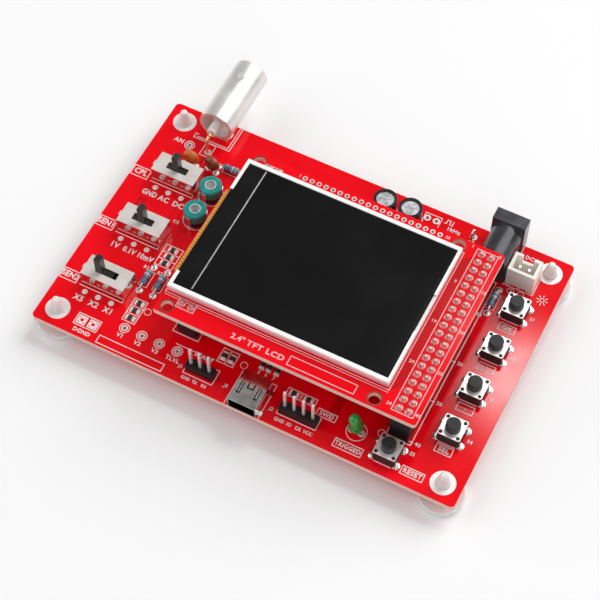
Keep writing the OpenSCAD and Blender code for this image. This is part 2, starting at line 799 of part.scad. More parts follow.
// The flex leaves the ledge, turns round the panel's left edge and lands on the display board
module lcd_flex() {
    z1 = ledge_z + flex_t;
    bend_r = (z1 - lcd_z1) / 2;
    color("orange") on_board() translate([0, flex_y0, 0]) {
        translate([flex_bend_x, 0, ledge_z]) cube([glass_x0 + 2.6 - flex_bend_x, flex_w, flex_t]);
        translate([flex_bend_x, 0, lcd_z1]) cube([flex_foot_l, flex_w, flex_t]);
        difference() {
            translate([flex_bend_x, 0, lcd_z1 + bend_r]) bar_y(bend_r, 0, flex_w);
            translate([flex_bend_x, 0, lcd_z1 + bend_r]) bar_y(bend_r - flex_t, -1, flex_w + 1);
            translate([flex_bend_x, -1, lcd_z1 - 1]) cube([4, flex_w + 2, 2 * bend_r + 2]);
        }
    }
}

module lcd_adhesive() {
    gap = 0.4;
    x0 = flex_bend_x + flex_foot_l + gap;
    color("gray") on_board() translate([x0, panel_y0 + 1, lcd_z1])
        cube([panel_x0 + panel_l - 1 - x0, panel_w - 2, adhesive_t]);
}

module plug_block(z0, z1) {
    translate([header_x, header_y, 0])
        block(2 * pitch, header_rows * pitch, z0, z1);
}

module support_block(z0, z1) {
    for (y = support_y) translate([support_x, y, 0]) block(support_pins * pitch, pitch - 0.1, z0, z1);
}

module pin_ways(z0, z1) {
    at_each(all_plug_pins) block(pin_side + 2 * seat_gap, pin_side + 2 * seat_gap, z0, z1);
}

module display_header_spacer() {
    color("black") on_board() difference() {
        plug_block(lcd_z0 - spacer_h, lcd_z0);
        pin_ways(0, lcd_z1);
    }
}

module support_header_spacers() {
    color("black") on_board() difference() {
        support_block(lcd_z0 - spacer_h, lcd_z0);
        pin_ways(0, lcd_z1);
    }
}

module display_header_pins() {
    color("gold") on_board() at_each(all_plug_pins)
        block(pin_side, pin_side, lcd_z0 - spacer_h - pin_depth, lcd_z1 + pin_above_board);
}

module socket_cavities() {
    at_each(all_plug_pins) post(cavity_r, -1, socket_h + 1);
}

module display_socket() {
    color("black") on_board() difference() {
        translate([header_x, header_y, 0])
            block(2 * pitch, header_rows * pitch + socket_pad, 0, socket_h);
        socket_cavities();
    }
}

module support_sockets() {
    color("black") on_board() difference() {
        support_block(0, socket_h);
        socket_cavities();
    }
}

module display_socket_contacts() {
    color("gold") on_board() at_each(all_plug_pins)
        block(contact_side, contact_side, tail_z, contact_top);
}

function jack_tab_places() = [for (t = jack_tabs) [jack_x + t[0], jack_y0 + t[1]]];

module dc_jack_housing() {
    color("black") on_board() translate([jack_x, 0, 0]) difference() {
        union() {
            translate([0, jack_y1 - jack_flange_t / 2, 0]) block(jack_w, jack_flange_t, 0, jack_h);
            translate([0, (jack_y0 + jack_y1) / 2, 0]) block(2 * jack_body_r, jack_l, 0, jack_axis_h);
            translate([0, 0, jack_axis_h]) bar_y(jack_body_r, jack_y0, jack_y1 - jack_flange_t + eps);
        }
        translate([0, 0, jack_axis_h]) {
            bar_y(jack_bore_d / 2, jack_y1 - jack_bore_depth, jack_y1 + 1);
            bar_y(jack_pin_d / 2 + seat_gap, jack_y1 - jack_bore_depth - jack_pin_root, jack_y1);
        }
    }
}

module dc_jack_centre_pin() {
    tip = 0.3;
    y0 = jack_y1 - jack_bore_depth - jack_pin_root;
    y1 = jack_y1 - jack_pin_tip;
    color("silver") on_board() translate([jack_x, y0, jack_axis_h]) rotate([-90, 0, 0]) rotate_extrude()
        polygon([[0, 0], [jack_pin_d / 2, 0], [jack_pin_d / 2, y1 - y0 - tip],
            [jack_pin_d / 2 - tip, y1 - y0], [0, y1 - y0]]);
}

module dc_jack_terminals() {
    leaf_z = jack_axis_h - jack_bore_d / 2 + 0.12;
    color("silver") on_board() {
        at_each(jack_tab_places()) block(jack_tab_w, jack_tab_t, tail_z, 0);
        translate([jack_x, jack_y1 - jack_bore_depth + 3, 0]) block(1.2, 5.6, leaf_z, leaf_z + jack_leaf_t);
    }
}

module battery_socket_housing() {
    front_slot_w = 1.8;
    front_slot_h = 0.5;
    color("ivory") on_board() translate([battery_x, battery_y, 0]) difference() {
        block(battery_l, battery_w, 0, battery_h);
        block(battery_l - 2 * battery_wall, battery_w - 2 * battery_wall, battery_floor, battery_h + 1);
        translate([0, battery_w / 2, 0])
            block(battery_notch_w, 3 * battery_wall, battery_h - battery_notch_depth, battery_h + 1);
        at_each(column([0, 0], 2, battery_pin_pitch)) {
            block(pin_side + 2 * seat_gap, pin_side + 2 * seat_gap, -1, battery_h);
            translate([0, -battery_w / 2, 0]) block(front_slot_w, battery_wall, -1, front_slot_h);
        }
    }
}

module battery_socket_pins() {
    color("silver") on_board() at_each(battery_pins) block(pin_side, pin_side, tail_z, battery_h - 1.4);
}

module usb_shell() {
    finger_w = 0.95;
    finger_l = 3.6;
    ear_l = 1.1;
    color("silver") on_board() translate([usb_x, usb_y0 + usb_l / 2, 0]) difference() {
        union() {
            block(usb_w, usb_l, 0, usb_h);
            for (s = [-1, 1]) translate([0, s * usb_l / 2 - s * 1.4, 0])
                block(usb_w + 2 * ear_l, 1.3, 0, sheet_t);
        }
        translate([0, -1, 0])
            block(usb_w - 2 * sheet_t, usb_l + 2 - 2 * sheet_t, sheet_t, usb_h - sheet_t);
        for (s = [-1, 1]) translate([s * 2.35, -0.3, 0]) difference() {
            block(finger_w, finger_l, usb_h - 2 * sheet_t, usb_h + 1);
            translate([0, 0.4, 0]) block(finger_w - 0.5, finger_l, usb_h - 2 * sheet_t, usb_h + 1);
        }
        translate([0, 0.9, 0]) difference() {
            block(1.9, 1.7, usb_h - 2 * sheet_t, usb_h + 1);
            translate([0, 0.35, 0]) block(1.2, 1.7, usb_h - 2 * sheet_t, usb_h + 1);
        }
    }
}

module usb_tongue() {
    body_l = 3;
    inner_w = usb_w - 2 * (sheet_t + seat_gap);
    z0 = sheet_t + seat_gap;
    y1 = usb_y0 + usb_l - sheet_t;
    color("black") on_board() translate([usb_x, 0, 0]) {
        translate([0, y1 - seat_gap - body_l / 2, 0]) block(inner_w, body_l, z0, usb_h - sheet_t - seat_gap);
        translate([0, y1 - seat_gap - body_l - 2.2, 0]) block(4, 4.6, usb_h / 2 - 0.35, usb_h / 2 + 0.35);
    }
}

module pin_header_bases() {
    color("black") on_board() difference() {
        for (h = free_headers) translate([h[0], free_header_y, 0]) block(h[1] * pitch, pitch, 0, spacer_h);
        at_each(free_pins) block(pin_side + 2 * seat_gap, pin_side + 2 * seat_gap, -1, spacer_h + 1);
    }
}

module pin_header_pins() {
    color("gold") on_board() at_each(free_pins) block(pin_side, pin_side, tail_z, free_pin_h);
}

module at_lamp() {
    translate([lamp_place[0], lamp_place[1], lamp_stand]) rotate([0, lamp_lean, 0]) children();
}

module trigger_lamp() {
    r = lamp_d / 2;
    color("limegreen") on_board() at_lamp() {
        difference() {
            post(lamp_flange_r, 0, 0.9);
            translate([lamp_flange_r, 0, 0]) block(0.5, 2 * lamp_flange_r, -1, 2);
        }
        post(r, 0, lamp_body_h);
        translate([0, 0, lamp_body_h]) sphere(r);
    }
}

module electrolytic_cans() {
    color("silver") on_board() at_each(electrolytic_places)
        post(can_d / 2 - can_skin, can_stand, can_h - can_skin);
}

module electrolytic_sleeves() {
    color("black") on_board() at_each(electrolytic_places) difference() {
        post(can_d / 2, can_stand, can_h);
        post(can_d / 2 - can_skin, 0, can_h - can_skin);
        post(can_lip_r, 0, can_h + 1);
    }
}

module ceramic_capacitors() {
    edge_r = ceramic_t / 2;
    color("chocolate") on_board() for (p = ceramic_places)
        translate([p[0], p[1], ceramic_z]) rotate([90, 0, p[2]]) {
            rotate_extrude() translate([ceramic_r - edge_r, 0]) circle(edge_r);
            translate([0, 0, -edge_r]) cylinder(h = ceramic_t, r = ceramic_r - edge_r);
        }
}

module resistors() {
    cap_l = 1;
    cap_r = resistor_d / 2 + 0.12;
    edge = 0.25;
    color("steelblue") on_board() for (p = resistor_places)
        translate([p[0], p[1], body_z]) rotate([0, 90, p[2]]) rotate_extrude() polygon([
            [0, -resistor_l / 2], [cap_r - edge, -resistor_l / 2], [cap_r, -resistor_l / 2 + edge],
            [cap_r, -resistor_l / 2 + cap_l - edge], [resistor_d / 2, -resistor_l / 2 + cap_l],
            [resistor_d / 2, resistor_l / 2 - cap_l], [cap_r, resistor_l / 2 - cap_l + edge],
            [cap_r, resistor_l / 2 - edge], [cap_r - edge, resistor_l / 2], [0, resistor_l / 2]
        ]);
}

module inductors() {
    edge = 0.5;
    color("olivedrab") on_board() for (p = inductor_places)
        translate([p[0], p[1], inductor_d / 2 + 0.2]) rotate([0, 90, p[2]]) rotate_extrude() polygon([
            [0, -inductor_l / 2], [inductor_d / 2 - edge, -inductor_l / 2],
            [inductor_d / 2, -inductor_l / 2 + edge], [inductor_d / 2, inductor_l / 2 - edge],
            [inductor_d / 2 - edge, inductor_l / 2], [0, inductor_l / 2]
        ]);
}

// The two leads of a part that lies down: out of each end, a bend, then down through the board
module bent_leads(place, body_l, span, z) {
    bend = 0.7;
    r = wire_d / 2;
    translate([place[0], place[1], 0]) rotate([0, 0, place[2]]) for (s = [0, 180]) rotate([0, 0, s]) {
        translate([0, 0, z]) rotate([0, 0, -90]) bar_y(r, body_l / 2, span / 2 - bend);
        translate([span / 2 - bend, 0, z - bend]) rotate([90, 0, 0])
            rotate_extrude(angle = 90) translate([bend, 0]) circle(r);
        translate([span / 2, 0, 0]) post(r, tail_z, z - bend);
    }
}

module component_leads() {
    color("lightgray") on_board() {
        for (p = resistor_places) bent_leads(p, resistor_l, resistor_span, body_z);
        for (p = inductor_places) bent_leads(p, inductor_l, inductor_span, inductor_d / 2 + 0.2);
        at_each(electrolytic_leads) post(wire_d / 2, tail_z, can_stand);
        at_each(crystal_leads) post(wire_d / 2, tail_z, can_stand);
        difference() {
            at_each(lamp_leads) post(wire_d / 2, tail_z, lamp_stand + 0.6);
            at_lamp() block(4 * lamp_flange_r, 4 * lamp_flange_r, 0, 4);
        }
        difference() {
            at_each(ceramic_leads) post(wire_d / 2, tail_z, ceramic_z);
            for (p = ceramic_places) translate([p[0], p[1], ceramic_z]) rotate([90, 0, p[2]])
                cylinder(h = 2 * ceramic_t, r = ceramic_r + 0.01, center = true);
        }
    }
}

module microcontroller() {
    lead_l = 1;
    lead_w = 0.22;
    color("black") on_board() translate([mcu_place[0], mcu_place[1], 0]) {
        block(mcu_side, mcu_side, 0.1, mcu_h);
        for (a = [0:90:270]) rotate([0, 0, a]) at_each(column([0, mcu_side / 2 + lead_l / 2], mcu_pins, mcu_pin_pitch))
            block(lead_w, lead_l, 0, 0.5);
    }
}

module amplifier_chips() {
    lead_l = 1;
    lead_w = 0.4;
    color("black") on_board() at_each(amp_places) {
        block(amp_l, amp_w, 0.1, amp_h);
        for (s = [-1, 1]) at_each(column([0, s * (amp_w + lead_l) / 2], 7, 1.27))
            block(lead_w, lead_l, 0, 0.7);
    }
}

module regulators() {
    color("black") on_board() at_each(regulator_places) {
        block(4.5, 2.5, 0, 1.5);
        at_each(column([0, -1.75], 3, 1.5)) block(0.45, 1, 0, 0.4);
        translate([0, 1.65, 0]) block(1.7, 0.8, 0, 0.4);
    }
}

module crystal() {
    flat_l = crystal_l - crystal_w;
    color("silver") on_board() translate([crystal_place[0], crystal_place[1], 0]) {
        block(flat_l, crystal_w, can_stand, crystal_h);
        for (s = [-1, 1]) translate([s * flat_l / 2, 0, 0]) post(crystal_w / 2, can_stand, crystal_h);
    }
}

function loop_feet() = [for (s = [-1, 1]) [loop_place[0], loop_place[1] + s * loop_span / 2]];

module test_loop() {
    bend = loop_span / 2;
    color("silver") on_board() {
        at_each(loop_feet()) post(loop_r - 0.05, tail_z, loop_h - bend);
        translate([loop_place[0], loop_place[1], loop_h - bend]) rotate([90, 0, 90])
            rotate_extrude(angle = 180) translate([bend, 0]) circle(loop_r - 0.05);
    }
}

main_board();
board_feet();
input_barrel();
input_insulator();
input_contact();
input_ground_pins();
switch_bases();
switch_covers();
switch_terminals();
coupling_lever();
coupling_wiper();
range_lever();
range_wiper();
multiplier_lever();
multiplier_wiper();
key_bases();
key_covers();
key_domes();
key_terminals();
ok_button();
plus_button();
minus_button();
select_button();
reset_button();
trimmer_bodies();
trimmer_terminals();
rear_trimmer_rotor();
front_trimmer_rotor();
lcd_board();
lcd_backlight_frame();
lcd_glass();
lcd_flex();
lcd_adhesive();
display_header_spacer();
display_header_pins();
display_socket();
display_socket_contacts();
support_header_spacers();
support_sockets();
dc_jack_housing();
dc_jack_centre_pin();
dc_jack_terminals();
battery_socket_housing();
battery_socket_pins();
usb_shell();
usb_tongue();
pin_header_bases();
pin_header_pins();
trigger_lamp();
electrolytic_cans();
electrolytic_sleeves();
ceramic_capacitors();
resistors();
component_leads();
microcontroller();
amplifier_chips();
regulators();
crystal();
inductors();
test_loop();
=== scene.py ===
"""Looks for the open-board bench oscilloscope: finishes, printed legends, pads, solder and small chips."""
import math

import bpy
from mathutils import Matrix, Vector


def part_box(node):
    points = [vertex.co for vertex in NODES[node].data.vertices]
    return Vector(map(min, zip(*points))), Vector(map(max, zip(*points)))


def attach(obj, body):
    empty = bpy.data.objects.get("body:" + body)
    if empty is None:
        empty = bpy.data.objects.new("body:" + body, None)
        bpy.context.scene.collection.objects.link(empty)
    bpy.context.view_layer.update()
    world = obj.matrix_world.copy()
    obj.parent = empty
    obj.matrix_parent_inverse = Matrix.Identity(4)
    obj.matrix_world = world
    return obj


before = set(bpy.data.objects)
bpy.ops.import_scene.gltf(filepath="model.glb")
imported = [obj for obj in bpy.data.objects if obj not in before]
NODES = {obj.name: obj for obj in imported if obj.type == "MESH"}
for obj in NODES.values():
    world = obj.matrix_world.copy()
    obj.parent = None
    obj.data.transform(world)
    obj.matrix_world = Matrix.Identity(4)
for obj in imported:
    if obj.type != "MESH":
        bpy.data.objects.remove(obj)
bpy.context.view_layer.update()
MM = 0.001

BOARD_LOW, BOARD_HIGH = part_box("main_board")
BOARD_MID = (BOARD_LOW + BOARD_HIGH) / 2
DISPLAY_LOW, DISPLAY_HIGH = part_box("lcd_board")
UNDER = (BOARD_LOW.z - BOARD_HIGH.z) / MM
DISPLAY_TOP = (DISPLAY_HIGH.z - BOARD_HIGH.z) / MM
DISPLAY_UNDER = (DISPLAY_LOW.z - BOARD_HIGH.z) / MM
# Thickness of print and of copper on a board, and the step between strokes that cross, in millimetres.
INK = 0.07
COPPER = 0.045
HAIR = 0.004


def spot(x, y, z):
    """A place in millimetres from the middle of the main board's top face, as a point in metres."""
    return Vector((BOARD_MID.x + x * MM, BOARD_MID.y + y * MM, BOARD_HIGH.z + z * MM))


# -------- modelling

def only(*pieces):
    bpy.ops.object.select_all(action="DESELECT")
    for piece in pieces:
        piece.select_set(True)
    bpy.context.view_layer.objects.active = pieces[0]


def settle(*pieces):
    """Puts the place, turn and size of the pieces into their meshes."""
    only(*pieces)
    bpy.ops.object.transform_apply(location=True, rotation=True, scale=True)


def join(name, pieces):
    settle(*pieces)
    only(*pieces)
    if len(pieces) > 1:
        bpy.ops.object.join()
    whole = bpy.context.view_layer.objects.active
    whole.name = name
    return whole


def copy_to(piece, places):
    """Copies of a piece modelled at the origin, each with its own mesh, at (x, y, z) or (x, y, z, turn)."""
    made = []
    for place in places:
        turn = place[3] if len(place) > 3 else 0.0
        twin = piece.copy()
        twin.data = piece.data.copy()
        bpy.context.scene.collection.objects.link(twin)
        twin.matrix_world = Matrix.Translation(spot(*place[:3])) @ Matrix.Rotation(math.radians(turn), 4, "Z")
        made.append(twin)
    bpy.data.objects.remove(piece)
    return made


def edit_all():
    bpy.ops.object.mode_set(mode="EDIT")
    bpy.ops.mesh.select_all(action="SELECT")


def object_mode():
    bpy.ops.object.mode_set(mode="OBJECT")


def thicken(piece, thickness):
    only(piece)
    bpy.ops.object.modifier_add(type="SOLIDIFY")
    shell = piece.modifiers[-1]
    shell.thickness = thickness * MM
    shell.offset = -1
    bpy.ops.object.modifier_apply(modifier=shell.name)
    return piece


def break_edges(piece, width):
    only(piece)
    edit_all()
    bpy.ops.mesh.bevel(offset=width * MM, segments=2, affect="EDGES")
    object_mode()
    return piece


def finish_piece(piece, body, material):
    piece.data.materials.clear()
    piece.data.materials.append(material)
    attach(piece, body)
    return piece


def finish_flat(name, pieces, thickness, body, material):
    """Joins flat pieces, gives them their thickness downwards and finishes them as one piece."""
    return finish_piece(thicken(join(name, pieces), thickness), body, material)


def stroke(start, end, width, z):
    """A flat printed line from one place to another."""
    dx, dy = end[0] - start[0], end[1] - start[1]
    middle = spot((start[0] + end[0]) / 2, (start[1] + end[1]) / 2, z)
    bpy.ops.mesh.primitive_plane_add(size=1, location=middle, rotation=(0, 0, math.atan2(dy, dx)))
    line = bpy.context.object
    line.scale = ((math.hypot(dx, dy) + width) * MM, width * MM, 1)
    return line


def path(points, width, z):
    """Printed lines end to end; every second one lies a hair higher, so that no two share a face."""
    ends = enumerate(zip(points, points[1:]))
    return [stroke(a, b, width, z + HAIR * (index % 2)) for index, (a, b) in ends]


def paths(lines, width, z):
    return [part for points in lines for part in path(points, width, z)]


def outlines(boxes, width, z):
    return paths([[(x0, y0), (x1, y0), (x1, y1), (x0, y1), (x0, y0)] for x0, y0, x1, y1 in boxes], width, z)


def disc(radius, sides=20):
    bpy.ops.mesh.primitive_circle_add(vertices=sides, radius=radius * MM, fill_type="NGON")
    return bpy.context.object


def ring(outer, inner, sides=20):
    flat = disc(outer, sides)
    edit_all()
    bpy.ops.mesh.inset(thickness=(outer - inner) * MM)
    bpy.ops.mesh.delete(type="FACE")
    object_mode()
    return flat


def word(text, x, y, height, spread, z):
    """A printed word, centred on its place; height is that of a capital letter, spread how wide it runs."""
    bpy.ops.object.text_add()
    letters = bpy.context.object
    letters.data.body = text
    letters.data.align_x = "CENTER"
    letters.data.align_y = "CENTER"
    letters.data.resolution_u = 2
    letters.data.offset = 0.03
    letters.data.space_character = 1.08
    bpy.ops.object.convert(target="MESH")
    letters = bpy.context.object
    size = height / 0.7 * MM
    letters.location = spot(x, y, z)
    letters.scale = (size * spread, size, size)
    return letters


def words(rows, z):
    """Printed words from rows of text, x, y, height and, if it isn't 1, spread."""
    return [word(text, x, y, height, spread[0] if spread else 1.0, z) for text, x, y, height, *spread in rows]


def bar(x0, y0, z0, x1, y1, z1, edge):
    """A small moulded block with broken edges."""
    bpy.ops.mesh.primitive_cube_add(size=1, location=spot((x0 + x1) / 2, (y0 + y1) / 2, (z0 + z1) / 2))
    block = bpy.context.object
    block.scale = ((x1 - x0) * MM, (y1 - y0) * MM, (z1 - z0) * MM)
    settle(block)
    return break_edges(block, edge)


# -------- finishes

def new_group(name, inputs, outputs):
    group = bpy.data.node_groups.new(name, "ShaderNodeTree")
    for label, kind, value in inputs:
        socket = group.interface.new_socket(name=label, in_out="INPUT", socket_type=kind)
        socket.default_value = value
    for label, kind in outputs:
        group.interface.new_socket(name=label, in_out="OUTPUT", socket_type=kind)
    return group


def make_grain_group():
    """Fine and coarse unevenness of a surface: a height for bumps and a mask for colour and gloss."""
    group = new_group(
        "surface_grain",
        [("Fine Scale", "NodeSocketFloat", 6000.0), ("Coarse Scale", "NodeSocketFloat", 250.0)],
        [("Height", "NodeSocketFloat"), ("Mottle", "NodeSocketFloat")],
    )
    nodes, links = group.nodes, group.links
    entry, leave = nodes.new("NodeGroupInput"), nodes.new("NodeGroupOutput")
    place = nodes.new("ShaderNodeTexCoord")
    fine, coarse = nodes.new("ShaderNodeTexNoise"), nodes.new("ShaderNodeTexNoise")
    fine.inputs["Detail"].default_value = 3
    coarse.inputs["Detail"].default_value = 5
    for noise, scale in ((fine, "Fine Scale"), (coarse, "Coarse Scale")):
        links.new(place.outputs["Object"], noise.inputs["Vector"])
        links.new(entry.outputs[scale], noise.inputs["Scale"])
    stretch = nodes.new("ShaderNodeMapRange")
    stretch.inputs["From Min"].default_value = 0.3
    stretch.inputs["From Max"].default_value = 0.7
    links.new(coarse.outputs["Fac"], stretch.inputs["Value"])
    links.new(fine.outputs["Fac"], leave.inputs["Height"])
    links.new(stretch.outputs["Result"], leave.inputs["Mottle"])
    return group


def make_edge_group():
    """Where a surface bends over an edge, broken up by noise, as a mask for wear and a painted highlight on
    the edges, and its normal rounded there.
    """
    group = new_group(
        "rounded_edge",
        [("Radius", "NodeSocketFloat", 0.0001), ("Break Scale", "NodeSocketFloat", 2500.0)],
        [("Edge", "NodeSocketFloat"), ("Normal", "NodeSocketVector")],
    )
    nodes, links = group.nodes, group.links
    entry, leave = nodes.new("NodeGroupInput"), nodes.new("NodeGroupOutput")
    bevel = nodes.new("ShaderNodeBevel")
    bevel.samples = 4
    links.new(entry.outputs["Radius"], bevel.inputs["Radius"])
    surface = nodes.new("ShaderNodeNewGeometry")
    dot = nodes.new("ShaderNodeVectorMath")
    dot.operation = "DOT_PRODUCT"
    links.new(bevel.outputs["Normal"], dot.inputs[0])
    links.new(surface.outputs["Normal"], dot.inputs[1])
    bend = nodes.new("ShaderNodeMapRange")
    bend.inputs["From Min"].default_value = 0.99
    bend.inputs["From Max"].default_value = 0.80
    links.new(dot.outputs["Value"], bend.inputs["Value"])
    place = nodes.new("ShaderNodeTexCoord")
    breaks = nodes.new("ShaderNodeTexNoise")
    links.new(place.outputs["Object"], breaks.inputs["Vector"])
    links.new(entry.outputs["Break Scale"], breaks.inputs["Scale"])
    # The edge mask: partly wear, partly a painted highlight along the edges.
    worn = nodes.new("ShaderNodeMath")
    worn.operation = "MULTIPLY"
    worn.use_clamp = True
    links.new(bend.outputs["Result"], worn.inputs[0])
    links.new(breaks.outputs["Fac"], worn.inputs[1])
    links.new(worn.outputs["Value"], leave.inputs["Edge"])
    links.new(bevel.outputs["Normal"], leave.inputs["Normal"])
    return group


# The colour sockets of a Mix node, which share their names with its number sockets.
MIX_A, MIX_B, MIX_RESULT = 6, 7, 2

GRAIN = make_grain_group()
EDGE = make_edge_group()


class Finish:
    """A material being put together: its principled shader with grain, rounded edges and a mask for wear and
    painted highlight on the edges.
    """

    def __init__(self, name, fine=6000.0, coarse=250.0, radius=0.08, bump=0.1, bump_depth=0.01):
        self.material = bpy.data.materials.new(name)
        self.material.use_nodes = True
        self.nodes, self.links = self.material.node_tree.nodes, self.material.node_tree.links
        self.shader = self.nodes["Principled BSDF"]
        self.grain = self.group(GRAIN)
        self.grain.inputs["Fine Scale"].default_value = fine
        self.grain.inputs["Coarse Scale"].default_value = coarse
        self.edge = self.group(EDGE)
        self.edge.inputs["Radius"].default_value = radius * MM
        # The edge mask lightens colours, partly as wear and partly as a painted highlight.
        self.mottle, self.worn = self.grain.outputs["Mottle"], self.edge.outputs["Edge"]
        self.bump = self.nodes.new("ShaderNodeBump")
        self.bump.inputs["Strength"].default_value = bump
        self.bump.inputs["Distance"].default_value = bump_depth * MM
        self.links.new(self.grain.outputs["Height"], self.bump.inputs["Height"])
        self.links.new(self.edge.outputs["Normal"], self.bump.inputs["Normal"])
        self.links.new(self.bump.outputs["Normal"], self.shader.inputs["Normal"])

    def group(self, tree):
        node = self.nodes.new("ShaderNodeGroup")
        node.node_tree = tree
        return node

    def mix(self, mask, first, second):
        """Goes from the first colour to the second with the mask; either may be a colour or a socket."""
        node = self.nodes.new("ShaderNodeMix")
        node.data_type = "RGBA"
        self.links.new(mask, node.inputs["Factor"])
        for socket, colour in ((node.inputs[MIX_A], first), (node.inputs[MIX_B], second)):
            if isinstance(colour, tuple):
                socket.default_value = (*colour, 1)
            else:
                self.links.new(colour, socket)
        return node.outputs[MIX_RESULT]

    def span(self, value, low, high, to_low=0.0, to_high=1.0):
        node = self.nodes.new("ShaderNodeMapRange")
        for label, number in zip(("From Min", "From Max", "To Min", "To Max"), (low, high, to_low, to_high)):
            node.inputs[label].default_value = number
        self.links.new(value, node.inputs["Value"])
        return node.outputs["Result"]

    def maths(self, operation, *values):
        node = self.nodes.new("ShaderNodeMath")
        node.operation = operation
        for socket, value in zip(node.inputs, values):
            if isinstance(value, float):
                socket.default_value = value
            else:
                self.links.new(value, socket)
        return node.outputs["Value"]

    def place(self):
        return self.nodes.new("ShaderNodeTexCoord").outputs["Object"]

    def axes(self, vector):
        node = self.nodes.new("ShaderNodeSeparateXYZ")
        self.links.new(vector, node.inputs[0])
        return node.outputs

    def colour(self, socket):
        self.links.new(socket, self.shader.inputs["Base Color"])

    def gloss(self, low, high):
        rough = self.span(self.mottle, 0, 1, low, high)
        self.links.new(rough, self.shader.inputs["Roughness"])

    def set(self, **values):
        for label, value in values.items():
            self.shader.inputs[label.replace("_", " ").title().replace("Ior", "IOR")].default_value = value


def plain_finish(name, light, dark, edge_wear_and_highlight_tone, rough, metallic=0.0, coat=0.0, specular=0.5, **grain):
    """Two tones mottled together, a lighter tone on the edges that is partly wear and partly painted
    highlight, and an uneven gloss.
    """
    made = Finish(name, **grain)
    tones = made.mix(made.mottle, dark, light)
    # Lighter edges: partly wear, partly a painted highlight.
    made.colour(made.mix(made.worn, tones, edge_wear_and_highlight_tone))
    made.gloss(*rough)
    made.set(metallic=metallic, coat_weight=coat, specular_ior_level=specular)
    return made.material


def facing_up(made, low=0.4, high=0.7):
    """A mask that is one on level faces and zero on upright ones; low above high turns it round."""
    across = made.axes(made.nodes.new("ShaderNodeNewGeometry").outputs["Normal"])[2]
    return made.span(made.maths("ABSOLUTE", across), low, high)


def inside(made, low, high):
    """A mask that is one within a box given by two corners."""
    place = made.axes(made.place())
    masks = [made.maths("COMPARE", place[axis], (low[axis] + high[axis]) / 2, (high[axis] - low[axis]) / 2)
             for axis in range(3)]
    return made.maths("MULTIPLY", made.maths("MULTIPLY", masks[0], masks[1]), masks[2])


def laminate_finish(name, light, dark, paper, resin):
    """Solder mask on the faces and bare glass-fibre laminate on the sawn edges."""
    made = Finish(name, fine=2600.0, coarse=70.0, radius=0.12, bump=0.12, bump_depth=0.015)
    mask = made.mix(made.mottle, dark, light)
    sawn = facing_up(made, 0.7, 0.4)
    layers = made.nodes.new("ShaderNodeTexWave")
    layers.bands_direction = "Z"
    layers.inputs["Scale"].default_value = 1400.0
    layers.inputs["Distortion"].default_value = 1.5
    made.links.new(made.place(), layers.inputs["Vector"])
    fibre = made.mix(layers.outputs["Fac"], paper, resin)
    made.colour(made.mix(sawn, mask, fibre))
    rough = made.nodes.new("ShaderNodeMix")
    made.links.new(sawn, rough.inputs["Factor"])
    made.links.new(made.span(made.mottle, 0, 1, 0.10, 0.17), rough.inputs[2])
    rough.inputs[3].default_value = 0.65
    made.links.new(rough.outputs[0], made.shader.inputs["Roughness"])
    made.set(specular_ior_level=0.2)
    return made.material


RED_LIGHT, RED_DARK = (0.93, 0.002, 0.011), (0.82, 0.001, 0.006)
LAMINATE = laminate_finish("red_laminate", RED_LIGHT, RED_DARK, (0.86, 0.62, 0.56), (0.74, 0.44, 0.38))

TRACK = plain_finish(
    "masked_copper", (0.46, 0.001, 0.004), (0.36, 0.001, 0.003), (0.62, 0.01, 0.02), (0.14, 0.22),
    specular=0.25, fine=2600, coarse=90, radius=0.03)
WHITE_INK = plain_finish(
    "white_ink", (0.92, 0.88, 0.87), (0.84, 0.72, 0.72), (0.9, 0.7, 0.7), (0.45, 0.6),
    fine=9000, coarse=1800, radius=0.02, bump=0.2)
ROSE_INK = plain_finish(
    "rose_ink", (0.95, 0.62, 0.64), (0.88, 0.46, 0.48), (0.95, 0.7, 0.7), (0.45, 0.6),
    fine=9000, coarse=1800, radius=0.02, bump=0.2)
TIN = plain_finish(
    "tin_solder", (0.90, 0.88, 0.86), (0.74, 0.72, 0.70), (0.96, 0.95, 0.94), (0.16, 0.32),
    metallic=1.0, fine=3500, coarse=900, radius=0.05, bump=0.15)
PAD_TIN = plain_finish(
    "tinned_pad", (0.93, 0.89, 0.87), (0.86, 0.80, 0.78), (0.97, 0.96, 0.95), (0.28, 0.42),
    metallic=0.25, fine=3000, coarse=1200, radius=0.05, bump=0.2)
# Solder coloured rose: a painted reflection of the red board around it.
SOLDER_RED_REFLECTION = plain_finish(
    "solder_with_painted_red_reflection", (0.80, 0.36, 0.35), (0.62, 0.18, 0.18), (0.94, 0.72, 0.70), (0.26, 0.40),
    metallic=0.6, fine=3500, coarse=1500, radius=0.05, bump=0.2)
BARE_COPPER = plain_finish(
    "bare_copper", (0.42, 0.06, 0.03), (0.26, 0.03, 0.015), (0.6, 0.2, 0.1), (0.3, 0.45),
    metallic=0.6, fine=3000, coarse=900, radius=0.03)
GOLD = plain_finish(
    "gold_plate", (0.93, 0.66, 0.34), (0.80, 0.52, 0.24), (1.0, 0.82, 0.55), (0.16, 0.30),
    metallic=1.0, fine=4000, coarse=800, radius=0.04)
# A slight rose tint in this metal is a painted reflection of the red board.
PIN_METAL = plain_finish(
    "pin_metal", (0.92, 0.84, 0.81), (0.88, 0.78, 0.75), (1.0, 0.93, 0.88), (0.22, 0.36),
    metallic=0.5, fine=4000, coarse=1600, radius=0.06)
